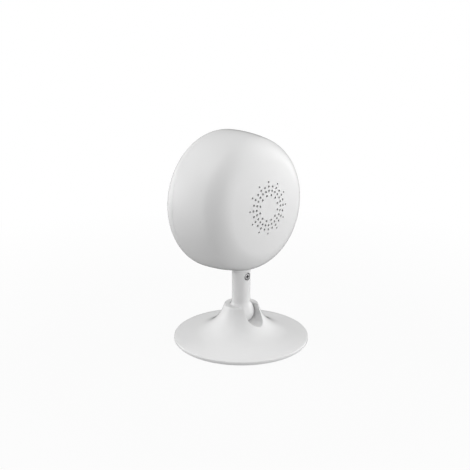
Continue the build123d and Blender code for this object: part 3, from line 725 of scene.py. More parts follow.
def block(place: Matrix, size: Sequence[float]) -> bmesh.types.BMesh:
    """A closed box about a place.

    Args:
        place: its middle and its directions.
        size: its sizes along the matrix's own axes.

    Returns:
        The mesh.
    """
    mesh = bmesh.new()
    bmesh.ops.create_cube(mesh, size=1.0, matrix=place @ Matrix.Diagonal((*size, 1.0)))
    return mesh


def slot_bar(
    place: Matrix, width: float, height: float, length: float, segments: int = 32
) -> bmesh.types.BMesh:
    """A closed bar with a slot's outline: flat sides and round ends.

    Args:
        place: its start; the bar runs along the matrix's own Z, with its width along X.
        width: outline's overall width.
        height: outline's height, the ends' diameter.
        length: its length.
        segments: steps round both ends together.

    Returns:
        The mesh.
    """
    mesh = bmesh.new()
    half_step = Matrix.Rotation(math.pi / segments, 4, "Z")
    bmesh.ops.create_circle(mesh, cap_ends=True, radius=height / 2, segments=segments, matrix=half_step)
    for point in mesh.verts:
        point.co.x += math.copysign((width - height) / 2, point.co.x)
    outline = bmesh.ops.extrude_face_region(mesh, geom=mesh.faces[:])
    moved = [item for item in outline["geom"] if isinstance(item, bmesh.types.BMVert)]
    bmesh.ops.translate(mesh, verts=moved, vec=(0, 0, length))
    bmesh.ops.transform(mesh, matrix=place, verts=mesh.verts)
    bmesh.ops.recalc_face_normals(mesh, faces=mesh.faces)
    return mesh


def make_piece(
    name: str,
    mesh: bmesh.types.BMesh,
    body: Body,
    finish: Finish,
    stands_for: Sequence[str] = (),
    recess_shade_finish: Optional[Finish] = None,
) -> bpy.types.Object:
    """Turn a mesh into a finished piece that rides on a body.

    Args:
        name: the piece's name.
        mesh: its mesh, freed here.
        body: the body that it moves with.
        finish: its finish.
        stands_for: the CAD nodes that it replaces.
        recess_shade_finish: the finish of faces with material index 1.

    Returns:
        The new object.
    """
    for face in mesh.faces:
        face.smooth = True
    for edge in mesh.edges:
        edge.smooth = not edge.is_manifold or edge.calc_face_angle() < SHARP
    data = mesh_data(name, mesh)
    data.materials.append(finish.material())
    # Painted shade: a second, black finish for faces in a recess, such as the screw's cross.
    if recess_shade_finish:
        data.materials.append(recess_shade_finish.material())
    piece = new_object(name, data)
    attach(piece, body.value)
    if stands_for:
        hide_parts(*stands_for)
    LOG.info("%s: %d faces on %s", name, len(data.polygons), body.value)
    return piece


def box_middle(node: str) -> Vector:
    """Return the middle of a CAD node's box."""
    low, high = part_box(node)
    return (Vector(low) + Vector(high)) / 2


def low_end(node: str, axis: int) -> float:
    """Return a CAD node's lowest place along an axis."""
    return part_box(node)[0][axis]


def high_end(node: str, axis: int) -> float:
    """Return a CAD node's highest place along an axis."""
    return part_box(node)[1][axis]


def rear_line(x: float, z: float) -> Spindle:
    """Return a spindle that runs to the rear."""
    return Spindle((x, 0.0, z), (0.0, 1.0, 0.0), (0.0, 0.0, 1.0))


def rear_place(x: float, y: float, z: float) -> Matrix:
    """Return a place with the matrix's Z to the rear."""
    return Matrix.Translation((x, y, z)) @ Matrix.Rotation(-math.pi / 2, 4, "X")


X, Y, Z = range(3)
HEAD_Z = box_middle("front_bezel").z
HEAD_LINE = rear_line(0.0, HEAD_Z)
STAND_LINE = Spindle((0.0, 0.0, 0.0), (0.0, 0.0, 1.0), (0.0, 1.0, 0.0))


def side_place(angle: float, y: float, radius: float) -> Matrix:
    """A place on the head's side.

    Args:
        angle: degrees from the head's own right (0) towards its top (90).
        y: station along the head's axis.
        radius: distance from that axis.

    Returns:
        A matrix whose Z points outwards, X round the head and Y to the back.
    """
    turn = math.radians(angle)
    outwards = Vector((-math.cos(turn), 0.0, math.sin(turn)))
    around = Vector((math.sin(turn), 0.0, math.cos(turn)))
    back = outwards.cross(around)
    turned = Matrix((around, back, outwards)).transposed().to_4x4()
    return Matrix.Translation(Vector((0.0, y, HEAD_Z)) + outwards * radius) @ turned


@dataclass
class Stand:
    """The flared foot with the ball's socket and the notch that the neck tilts into."""

    base_radius: float = high_end("base_cover", X)
    rim_top: float = 2.1 * MM
    rim_bottom: float = low_end("base_cover", Z)
    rim_round: float = 0.6 * MM
    rim_under: float = 0.65 * MM
    dish_slope: float = 10.0
    dish_steps: int = 4
    flare_radius: float = 18.7 * MM
    hub_draft: float = 20.0
    hub_top_radius: float = 8.2 * MM
    hub_top: float = high_end("base_cover", Z)
    hub_round: float = 0.45 * MM
    rim_turn: float = 80.0
    wall: float = 1.6 * MM
    hub_wall: float = 2.0 * MM
    ball_z: float = 14.1 * MM
    socket_radius: float = 6.65 * MM
    notch_width: float = 10.0 * MM
    notch_edge: float = 0.3 * MM
    cup_radius: float = high_end("ball_cup", X)
    cup_bottom: float = low_end("ball_cup", Z)
    cup_hollow: float = 6.55 * MM
    plate_radius: float = high_end("base_plate", X) + 0.1 * MM
    plate_top: float = high_end("base_plate", Z)
    ballast_radius: float = high_end("ballast_ring", X) + 0.3 * MM
    pad_radius: float = high_end("foot_pad", X)
    pad_height: float = high_end("foot_pad", Z)
    pad_grooves: int = 6
    groove_width: float = 1.1 * MM
    groove_depth: float = 0.2 * MM
    segments: int = 120

    def __post_init__(self) -> None:
        """Find the flare's arc: it touches the hub's line and the dish's line."""
        hub_lean = math.tan(math.radians(self.hub_draft))
        dish_lean = math.tan(math.radians(self.dish_slope))
        rise = self.hub_top - self.rim_top - dish_lean * self.base_radius
        corner_r = (self.hub_top_radius + rise * hub_lean) / (1 - dish_lean * hub_lean)
        corner_z = self.rim_top + (self.base_radius - corner_r) * dish_lean
        opening = math.radians(90 + self.hub_draft + self.dish_slope)
        reach = self.flare_radius / math.sin(opening / 2)
        middle = math.radians((90 + self.hub_draft - self.dish_slope) / 2)
        self.flare_centre = Vector((corner_z + reach * math.sin(middle), corner_r + reach * math.cos(middle)))
        self.notch_bottom = self.ball_z - self.notch_width / 2

    def hub_radius(self, z: float) -> float:
        """Find the hub's outside, on its straight draft or on the flare.

        Args:
            z: the height.

        Returns:
            The radius there.
        """
        straight = self.hub_top_radius + (self.hub_top - z) * math.tan(math.radians(self.hub_draft))
        tangent = self.flare_centre[0] - self.flare_radius * math.sin(math.radians(self.hub_draft))
        if z > tangent:
            return straight
        drop = self.flare_centre[0] - z
        return self.flare_centre[1] - math.sqrt(self.flare_radius**2 - drop**2)

    def socket_out(self, z: float) -> float:
        """Return the socket's radius at a height: a cylinder below the ball's middle, a sphere above."""
        rise = max(0.0, z - self.ball_z)
        return math.sqrt(self.socket_radius**2 - rise**2)

    def notch_levels(self, steps: int = 10) -> list[float]:
        """Find heights up the notch, round its half circle and up its straight sides.

        Args:
            steps: number of steps on each of the two.

        Returns:
            The heights, from the notch's bottom to below the hub's rim.
        """
        half = self.notch_width / 2
        curve = [self.ball_z - half * math.cos(math.pi / 2 * step / steps) for step in range(steps + 1)]
        last = self.hub_top - self.hub_round
        sides = [self.ball_z + (last - self.ball_z) * step / steps for step in range(1, steps + 1)]
        return curve + sides

    def outer_profile(self, levels: Sequence[float]) -> Profile:
        """Outside of the cover: the hub's rim and side, the flare, the dish and its edge.

        Args:
            levels: heights up the notch.

        Returns:
            The points from the hub's top to the dish's edge.
        """
        rim_corner = self.hub_top - self.hub_round
        rim_out = self.hub_radius(rim_corner) - self.hub_round
        rim = arc((rim_corner, rim_out), self.hub_round, 0, self.rim_turn, steps=5)
        side = [(z, self.hub_radius(z)) for z in reversed(levels)]
        flare_start = heading(self.flare_centre, side[-1])
        flare = arc(self.flare_centre, self.flare_radius, flare_start, -180 + self.dish_slope, steps=20)
        dish_top, dish_in = flare[-1]
        reach = self.base_radius - self.rim_round - dish_in
        lean = math.tan(math.radians(self.dish_slope))
        shares = [step / self.dish_steps for step in range(1, self.dish_steps)]
        dish = [(dish_top - reach * share * lean, dish_in + reach * share) for share in shares]
        edge_middle = (self.rim_top - self.rim_round, self.base_radius - self.rim_round)
        return rim + side + flare[1:] + dish + arc(edge_middle, self.rim_round, self.dish_slope, 90, steps=5)

    def inner_profile(self, levels: Sequence[float]) -> Profile:
        """Underside of the cover: the foot, the plate's recess, the hollow and the ball's socket.

        Args:
            levels: heights up the notch.

        Returns:
            The points from the foot's edge to the hub's top.
        """
        under_middle = (self.rim_bottom + self.rim_under, self.base_radius - self.rim_under)
        foot = arc(under_middle, self.rim_under, 90, 180, steps=6)
        recess = [
            (self.rim_bottom, self.plate_radius),
            (self.plate_top, self.plate_radius),
            (self.plate_top, self.ballast_radius),
        ]
        hollow_top = self.notch_bottom - self.wall
        under = self.flare_radius + self.wall
        outer_drop = math.degrees(math.acos((self.flare_centre[1] - self.ballast_radius) / under))
        inner_drop = math.degrees(math.asin((self.flare_centre[0] - hollow_top) / under))
        hollow = arc(self.flare_centre, under, -90 - outer_drop, -90 - inner_drop, steps=8)
        tube = self.socket_radius + self.hub_wall
        tube_wall = [(hollow_top, tube), (self.plate_top, tube), (self.plate_top, self.socket_radius)]
        socket = [(z, self.socket_out(z)) for z in (*levels, self.hub_top)]
        return foot + recess + hollow + tube_wall + socket

    def notch_half(self, z: float) -> float:
        """Find half the notch's width.

        Args:
            z: the height.

        Returns:
            The half width there.
        """
        half = self.notch_width / 2
        drop = self.ball_z - z
        if drop > half - MERGE:
            return 0.0
        return half if drop <= 0 else math.sqrt(half**2 - drop**2)

    def open_notch(self, mesh: bmesh.types.BMesh) -> None:
        """Draw each ring of an unclosed spin back from its seam at the rear, which opens the notch.

        Args:
            mesh: the cover's spin, with its seam still open.
        """
        seam = [edge for edge in mesh.edges if edge.is_boundary]
        first = {point for edge in seam for point in edge.verts}
        mesh.verts.ensure_lookup_table()
        half_count = len(mesh.verts) // 2
        for point in mesh.verts:
            radius = math.hypot(point.co.x, point.co.y)
            if radius < MERGE:
                continue
            half = min(self.notch_half(point.co.z), radius)
            limit = math.asin(half / radius)
            turn = math.atan2(-point.co.x, point.co.y) % math.tau
            if point in first:
                turn = 0.0 if point.index < half_count else math.tau
            turn = limit + turn * (1 - limit / math.pi)
            point.co.x = -radius * math.sin(turn)
            point.co.y = radius * math.cos(turn)

    def notch_walls(self, mesh: bmesh.types.BMesh) -> list[bmesh.types.BMEdge]:
        """Close the notch's two sides between the hub's outside and the socket.

        Args:
            mesh: the cover with its notch open.

        Returns:
            The notch's outer edges.
        """
        outer_edges = []
        for side in (1, -1):
            rim = [
                edge
                for edge in mesh.edges
                if edge.is_boundary
                and all(point.co.z > self.notch_bottom - MERGE for point in edge.verts)
                and sum(point.co.x for point in edge.verts) * side > 0
            ]
            outside = [edge for edge in rim if self.on_outside(edge) and self.below_rim(edge)]
            socket = [edge for edge in rim if not self.on_outside(edge) and self.below_rim(edge)]
            bmesh.ops.bridge_loops(mesh, edges=outside + socket)
            lip = [edge for edge in mesh.edges if edge.is_boundary and edge.verts[0].co.x * side > 0]
            bmesh.ops.contextual_create(mesh, geom=lip)
            outer_edges += outside
        return outer_edges

    def on_outside(self, edge: bmesh.types.BMEdge) -> bool:
        """Tell whether an edge is on the hub's outside, not in the socket."""
        middle = (edge.verts[0].co + edge.verts[1].co) / 2
        return math.hypot(middle.x, middle.y) > (self.socket_radius + self.hub_top_radius) / 2

    def below_rim(self, edge: bmesh.types.BMEdge) -> bool:
        """Tell whether an edge is below the hub's rounded rim."""
        return max(point.co.z for point in edge.verts) < self.hub_top - self.hub_round + MERGE

    def cover(self) -> bmesh.types.BMesh:
        """Build the cover: a spin whose seam is drawn open into the notch.

        Returns:
            The cover's closed mesh.
        """
        levels = self.notch_levels()
        profile = self.outer_profile(levels) + self.inner_profile(levels)
        mesh = STAND_LINE.spin(profile, closed=True, segments=self.segments, merge=False)
        self.open_notch(mesh)
        bmesh.ops.remove_doubles(mesh, verts=mesh.verts, dist=MERGE)
        edges = self.notch_walls(mesh)
        tidy(mesh)
        kept = [edge for edge in edges if edge.is_valid]
        bmesh.ops.bevel(
            mesh,
            geom=kept,
            offset=self.notch_edge,
            offset_type="OFFSET",
            segments=3,
            profile=0.5,
            affect="EDGES",
            clamp_overlap=True,
            material=-1,
        )
        return mesh

    def ball_seat(self) -> bmesh.types.BMesh:
        """Build the cup that bears on the ball from below, open at the rear like the cover.

        Returns:
            The cup's closed mesh.
        """
        hollow = arc((self.ball_z, 0.0), self.cup_hollow, 90, 180, steps=24)
        profile = [(self.cup_bottom, 0.0), (self.cup_bottom, self.cup_radius), (self.ball_z, self.cup_radius)]
        mesh = STAND_LINE.spin(profile + hollow, segments=self.segments)
        return carve(mesh, rod(rear_place(0.0, 0.0, self.ball_z), self.notch_width / 2, self.base_radius))

    def pad(self) -> bmesh.types.BMesh:
        """Build the rubber pad, with shallow rings moulded in its underside.

        Returns:
            The pad's closed mesh.
        """
        rounding = self.groove_depth
        profile = [(self.pad_height, 0.0), (self.pad_height, self.pad_radius)]
        profile += [(rounding, self.pad_radius), (0.0, self.pad_radius - rounding)]
        pitch = self.pad_radius / (self.pad_grooves + 1)
        for ring in range(self.pad_grooves, 0, -1):
            outer = ring * pitch + self.groove_width / 2
            inner = ring * pitch - self.groove_width / 2
            profile += [(0.0, outer), (self.groove_depth, outer - rounding)]
            profile += [(self.groove_depth, inner + rounding), (0.0, inner)]
        return STAND_LINE.spin(profile + [(0.0, 0.0)], segments=self.segments)

    def build(self) -> None:
        """Make the stand's pieces."""
        make_piece("stand_cover", self.cover(), Body.BASE, WHITE_SHELL, ["base_cover"])
        make_piece("ball_seat", self.ball_seat(), Body.BASE, WHITE_SHELL, ["ball_cup"])
        make_piece("stand_pad", self.pad(), Body.BASE, FOOT_RUBBER, ["foot_pad"])


@dataclass
class Neck:
    """The tube with the ball at its foot, and the cross-head screw at its top."""

    ball_radius: float = 6.5 * MM
    ball_z: float = low_end("neck", Z) + ball_radius
    radius: float = 4.5 * MM
    ball_blend: float = 1.5 * MM
    top: float = high_end("neck", Z)
    top_round: float = 0.12 * MM
    bore: float = 2.55 * MM
    bore_floor: float = low_end("head_stem", Z) - 0.6 * MM
    screw_z: float = box_middle("neck_screw").z
    screw_face: float = high_end("neck_screw", Y)
    screw_tip: float = low_end("neck_screw", Y)
    screw_radius: float = high_end("neck_screw", X) - 0.35 * MM
    screw_height: float = 1.0 * MM
    screw_round: float = 0.3 * MM
    recess_radius: float = high_end("neck_screw", X) + 0.1 * MM
    washer_height: float = 0.3 * MM
    washer_soft: float = 0.075 * MM
    washer_room: float = 0.03 * MM
    shank_radius: float = 1.0 * MM
    shank_room: float = 0.05 * MM
    cross_length: float = 2.2 * MM
    cross_width: float = 0.7 * MM
    cross_depth: float = 1.0 * MM
    cross_taper: float = 0.6
    segments: int = 96

    def tube_profile(self) -> Profile:
        """Draw the neck's section from the ball's foot round to the bore's floor.

        Returns:
            The section's points.
        """
        out = self.radius + self.ball_blend
        rise = math.sqrt((self.ball_radius + self.ball_blend) ** 2 - out**2)
        ball = (self.ball_z, 0.0)
        blend = (self.ball_z + rise, out)
        meet = heading(ball, blend)
        profile = arc(ball, self.ball_radius, 180, meet, steps=28)
        profile += arc(blend, self.ball_blend, meet - 180, -90, steps=8)[1:]
        corner = (self.top - self.top_round, self.radius - self.top_round)
        profile += arc(corner, self.top_round, 90, 0, steps=5)
        return profile + [(self.top, self.bore), (self.bore_floor, self.bore), (self.bore_floor, 0.0)]

    def screw_place(self, y: float) -> Matrix:
        """Return a place on the screw's axis, with the matrix's Z to the rear."""
        return rear_place(0.0, y, self.screw_z)

    def tube(self) -> bmesh.types.BMesh:
        """Build the neck with the screw's recess and hole.

        Returns:
            The neck's closed mesh.
        """
        mesh = STAND_LINE.spin(self.tube_profile(), segments=self.segments)
        seat = self.screw_face - self.screw_height
        mesh = carve(mesh, rod(self.screw_place(seat), self.recess_radius, self.radius))
        return carve(mesh, rod(self.screw_place(0.0), self.shank_radius + self.shank_room, self.radius))

    def washer(self) -> bmesh.types.BMesh:
        """Build the black washer under the screw's head, a dark ring that paints the shade of the gap round
        the head.

        Returns:
            The washer's closed mesh.
        """
        low = self.screw_face - self.screw_height
        high = low + self.washer_height
        inner, outer = self.shank_radius + self.washer_room, self.recess_radius - self.washer_room
        soft = self.washer_soft
        profile = [(low, inner), (low, outer), (high - soft, outer), (high, outer - soft), (high, inner)]
        return rear_line(0.0, self.screw_z).spin(profile, closed=True, segments=64)

    def screw(self) -> bmesh.types.BMesh:
        """Build the screw: a rounded head with a cross recess whose faces carry painted shade in black, and
        its shank.

        Returns:
            The screw's closed mesh, with material index 1 for the painted shade in the cross.
        """
        seat = self.screw_face - self.screw_height + self.washer_height
        profile = [(self.screw_tip, 0.0), (self.screw_tip, self.shank_radius), (seat, self.shank_radius)]
        profile += [(seat, self.screw_radius)]
        corner = (self.screw_face - self.screw_round, self.screw_radius - self.screw_round)
        profile += arc(corner, self.screw_round, 90, 0, steps=8)
        mesh = rear_line(0.0, self.screw_z).spin(profile + [(self.screw_face, 0.0)], segments=64)
        taper = (self.cross_taper, 1.0, self.cross_taper)
        from_axis = Matrix.Translation((0.0, 0.0, -self.screw_z))
        for width, height in ((self.cross_length, self.cross_width), (self.cross_width, self.cross_length)):
            bar = block(self.screw_place(self.screw_face), (width, height, 2 * self.cross_depth))
            foot = [point for point in bar.verts if point.co.y < self.screw_face]
            bmesh.ops.scale(bar, vec=taper, space=from_axis, verts=foot)
            mesh = carve(mesh, bar)
        # Painted shade: the faces inside the cross recess take the black finish for the shade that falls
        # there.
        for face in mesh.faces:
            middle = face.calc_center_median() - Vector((0.0, self.screw_face, self.screw_z))
            in_cross = math.hypot(middle.x, middle.z) < self.cross_length / 2
            if in_cross and -self.cross_depth - MERGE < middle.y < -MERGE:
                face.material_index = 1
        return mesh

    def build(self) -> None:
        """Make the neck's pieces."""
        make_piece("neck_tube", self.tube(), Body.NECK, WHITE_SHELL, ["neck"])
        screw = self.screw()
        # LENS_BLACK on the screw's cross recess is painted shade.
        make_piece("cross_screw", screw, Body.NECK, SCREW_STEEL, ["neck_screw"], LENS_BLACK)
        # The black washer paints the shade in the gap round the screw's head.
        make_piece("lock_washer", self.washer(), Body.NECK, SOFT_BLACK)


@dataclass
class HeadCasing:
    """The head's two shells: a back with the rosette of sound holes and a front ring."""

    radius: float = high_end("front_bezel", X)
    front_y: float = low_end("front_bezel", Y)
    back_y: float = high_end("rear_shell", Y)
    edge_radius: float = 7.0 * MM
    side_arc: float = 76.5 * MM
    shoulder_radius: float = 12.65 * MM
    dome_radius: float = 124.0 * MM
    wall: float = 2.0 * MM
    seam_back: float = 0.9 * MM
    seam_gap: float = 0.05 * MM
    seam_soft: float = 0.04 * MM
    tongue: float = 1.8 * MM
    tongue_room: float = 0.3 * MM
    seat: float = 0.1 * MM
    ring_radii: tuple[float, ...] = (6.0 * MM, 8.0 * MM, 10.0 * MM, 12.0 * MM)
    ring_counts: tuple[int, ...] = (12, 24, 24, 12)
    ring_turns: tuple[float, ...] = (0.5, 0.0, 0.0, 0.0)
    hole_sizes: tuple[float, ...] = (1.15 * MM, 1.15 * MM, 1.15 * MM, 0.95 * MM)
    hole_segments: int = 16
    rosette_edge: float = 14.5 * MM
    rim_margin: float = 0.01 * MM
    boss_radius: float = 4.5 * MM
    boss_bottom: float = high_end("neck", Z) + 0.06 * MM
    boss_round: float = 0.1 * MM
    boss_height: float = 4.0 * MM
    thread_hole: float = 1.55 * MM
    window_radius: float = high_end("front_window", X)
    window_back: float = high_end("front_window", Y)
    lip_width: float = 2.5 * MM
    lip_thickness: float = 1.2 * MM
    pocket_round: float = 0.3 * MM
    guide_hole: float = 0.85 * MM
    mic_hole: float = 0.5 * MM
    segments: int = 160

    def __post_init__(self) -> None:
        """Find the centres of the outline's arcs."""
        self.widest_y = self.front_y + self.edge_radius
        self.seam_y = self.widest_y + self.seam_back
        self.lip_back = self.window_back + self.lip_thickness
        self.edge_centre = Vector((self.widest_y, self.radius - self.edge_radius))
        self.side_centre = Vector((self.widest_y, self.radius - self.side_arc))
        self.dome_centre = Vector((self.back_y - self.dome_radius, 0.0))
        side_reach = self.side_arc - self.shoulder_radius
        dome_reach = self.dome_radius - self.shoulder_radius
        between = self.dome_centre - self.side_centre
        along = (side_reach**2 - dome_reach**2 + between.length_squared) / (2 * between.length)
        across = math.sqrt(side_reach**2 - along**2)
        line = between.normalized()
        normal = Vector((-line.y, line.x))
        sides = [self.side_centre + line * along + normal * (across * sign) for sign in (1, -1)]
        self.shoulder_centre = max(sides, key=lambda point: point.x)

    def side_out(self, y: float, inset: float = 0.0) -> float:
        """Return the side's radius at a station behind the widest place."""
        return self.side_centre.y + math.sqrt((self.side_arc - inset) ** 2 - (y - self.widest_y) ** 2)

    def dome_y(self, out: float, inset: float = 0.0) -> float:
        """Return the dome's station at a radius."""
        return self.dome_centre.x + math.sqrt((self.dome_radius - inset) ** 2 - out**2)

    def back_outline(self, inset: float, last_y: float) -> Profile:
        """Outline from the rosette's edge over the dome and the shoulder to a station on the side.

        Args:
            inset: distance inside the outer surface.
            last_y: station where it ends.

        Returns:
            The outline's points.
        """
        dome = self.dome_radius - inset
        dome_end = heading(self.dome_centre, self.shoulder_centre)
        dome_start = math.degrees(math.asin(self.rosette_edge / dome))
        side_start = heading(self.side_centre, self.shoulder_centre)
        side = self.side_arc - inset
        side_end = math.degrees(math.acos((last_y - self.widest_y) / side))
        points = arc(self.dome_centre, dome, dome_start, dome_end, steps=8)
        points += arc(self.shoulder_centre, self.shoulder_radius - inset, dome_end, side_start, steps=18)[1:]
        return points + arc(self.side_centre, side, side_start, side_end, steps=18)[1:]

    def rosette(self) -> bmesh.types.BMesh:
        """Build the perforated middle of the back as a plate with two domed faces.

        Returns:
            The plate, open round its edge where the rest of the shell joins it.
        """
        mesh = bmesh.new()
        bmesh.ops.create_circle(mesh, radius=self.rosette_edge, segments=self.segments)
        rows = zip(self.ring_radii, self.ring_counts, self.ring_turns, self.hole_sizes)
        for out, count, turn, size in rows:
            for number in range(count):
                angle = math.tau * (number + turn) / count
                place = Matrix.Translation((out * math.sin(angle), out * math.cos(angle), 0.0))
                bmesh.ops.create_circle(mesh, radius=size / 2, segments=self.hole_segments, matrix=place)
        bmesh.ops.triangle_fill(mesh, use_beauty=True, edges=mesh.edges[:], normal=(0.0, 0.0, 1.0))
        thick = bmesh.ops.extrude_face_region(mesh, geom=mesh.faces[:], use_keep_orig=True)
        inner = {item for item in thick["geom"] if isinstance(item, bmesh.types.BMVert)}
        for point in mesh.verts:
            out = math.hypot(point.co.x, point.co.y)
            inset = self.wall if point in inner else 0.0
            point.co = (point.co.x, self.dome_y(out, inset), HEAD_Z + point.co.y)
        edge = self.rosette_edge - self.rim_margin
        rim = [face for face in mesh.faces if all(self.off_axis(point) > edge for point in face.verts)]
        bmesh.ops.delete(mesh, geom=rim, context="FACES_ONLY")
        return mesh

    @staticmethod
    def off_axis(point: bmesh.types.BMVert) -> float:
        """Return a point's distance from the head's axis."""
        return math.hypot(point.co.x, point.co.z - HEAD_Z)

    def back_shell(self) -> bmesh.types.BMesh:
        """Build the back shell: outside, tongue, inside, rosette, the stem's boss and the side openings.

        Returns:
            The shell's closed mesh.
        """
        outer = self.back_outline(0.0, self.seam_y + self.seam_soft)
        inner = self.back_outline(self.wall, self.seam_y)
        step = self.wall / 2 + self.seat
        tip = self.seam_y - self.tongue
        seam_out = self.side_out(self.seam_y)
        profile = outer + [
            (self.seam_y, seam_out - self.seam_soft),
            (self.seam_y, seam_out - step),
            (tip, seam_out - step),
            (tip, seam_out - self.wall),
        ]
        ring = HEAD_LINE.spin(profile + inner[::-1], segments=self.segments)
        mesh = merged((ring, self.rosette()))
        tidy(mesh)
        mesh = carve(mesh, self.stem_boss(), Carving.JOIN)
        upwards = Matrix.Translation((0.0, 0.0, self.boss_bottom))
        mesh = carve(mesh, rod(upwards, self.thread_hole, self.boss_height))
        return self.side_openings(mesh)

    def stem_boss(self) -> bmesh.types.BMesh:
        """Build the short round foot that the head turns on.

        Returns:
            The boss's closed mesh.
        """
        corner = (self.boss_bottom + self.boss_round, self.boss_radius - self.boss_round)
        top = self.boss_bottom + self.boss_height
        profile = [(self.boss_bottom, 0.0)] + arc(corner, self.boss_round, 180, 90, steps=4)
        return STAND_LINE.spin(profile + [(top, self.boss_radius), (top, 0.0)], segments=96)

    def side_openings(self, mesh: bmesh.types.BMesh) -> bmesh.types.BMesh:
        """Cut the power, card and reset openings in the head's own right side.

        Args:
            mesh: the back shell, freed here.

        Returns:
            The shell with its openings.
        """
        start = self.radius - 2 * self.wall
        deep = 2 * self.wall
        ports = SidePorts()
        wider = 2 * ports.room
        power = side_place(ports.power_angle, ports.power_y, start)
        mesh = carve(mesh, slot_bar(power, ports.power_width + wider, ports.power_height + wider, deep))
        card = side_place(ports.card_angle, ports.card_y, start)
        mesh = carve(mesh, slot_bar(card, ports.card_width + wider, ports.card_gap + wider, deep))
        reset = side_place(ports.reset_angle, ports.reset_y, start)
        return carve(mesh, rod(reset, ports.button_radius + ports.slip, deep))

    def front_profile(self) -> Profile:
        """Draw the front ring's closed section: outside, rabbet, inside, lip and pocket.

        Returns:
            The section's points.
        """
        last = self.seam_y - self.seam_gap
        pocket = self.window_radius + self.seat
        side_end = math.degrees(math.acos((last - self.seam_soft - self.widest_y) / self.side_arc))
        corner = (self.front_y + self.pocket_round, pocket + self.pocket_round)
        profile = arc(corner, self.pocket_round, 270, 180, steps=5)
        profile += arc(self.edge_centre, self.edge_radius, 180, 90, steps=20)
        profile += arc(self.side_centre, self.side_arc, 90, side_end, steps=4)[1:]
        end_out = self.side_out(last)
        rabbet = self.seam_y - self.tongue - self.tongue_room
        inner = self.edge_radius - self.wall
        lip_turn = math.degrees(math.acos((self.lip_back - self.widest_y) / inner))
        rabbet_turn = math.degrees(math.acos((rabbet - self.widest_y) / inner))
        profile += [
            (last, end_out - self.seam_soft),
            (last, end_out - self.wall / 2),
            (rabbet, end_out - self.wall / 2),
        ]
        profile += arc(self.edge_centre, inner, rabbet_turn, lip_turn, steps=8)
        lip = self.window_radius - self.lip_width
        return profile + [(self.lip_back, lip), (self.window_back, lip), (self.window_back, pocket)]

    def front_ring(self) -> bmesh.types.BMesh:
        """Build the front ring with the window's pocket, the light guide's hole and the microphone's hole.

        Returns:
            The ring's closed mesh.
        """
        mesh = HEAD_LINE.spin(self.front_profile(), closed=True, segments=self.segments)
        start = self.front_y - self.wall
        through = self.lip_back - self.front_y + 2 * self.wall
        for node, radius in (("light_guide", self.guide_hole), ("mic_gasket", self.mic_hole)):
            middle = box_middle(node)
            mesh = carve(mesh, rod(rear_place(middle.x, start, middle.z), radius, through))
        return mesh

    def build(self) -> None:
        """Make the head's two shells."""
        make_piece("back_shell", self.back_shell(), Body.HEAD, WHITE_SHELL, ["rear_shell"])
        make_piece("front_ring", self.front_ring(), Body.HEAD, WHITE_SHELL, ["front_bezel"])


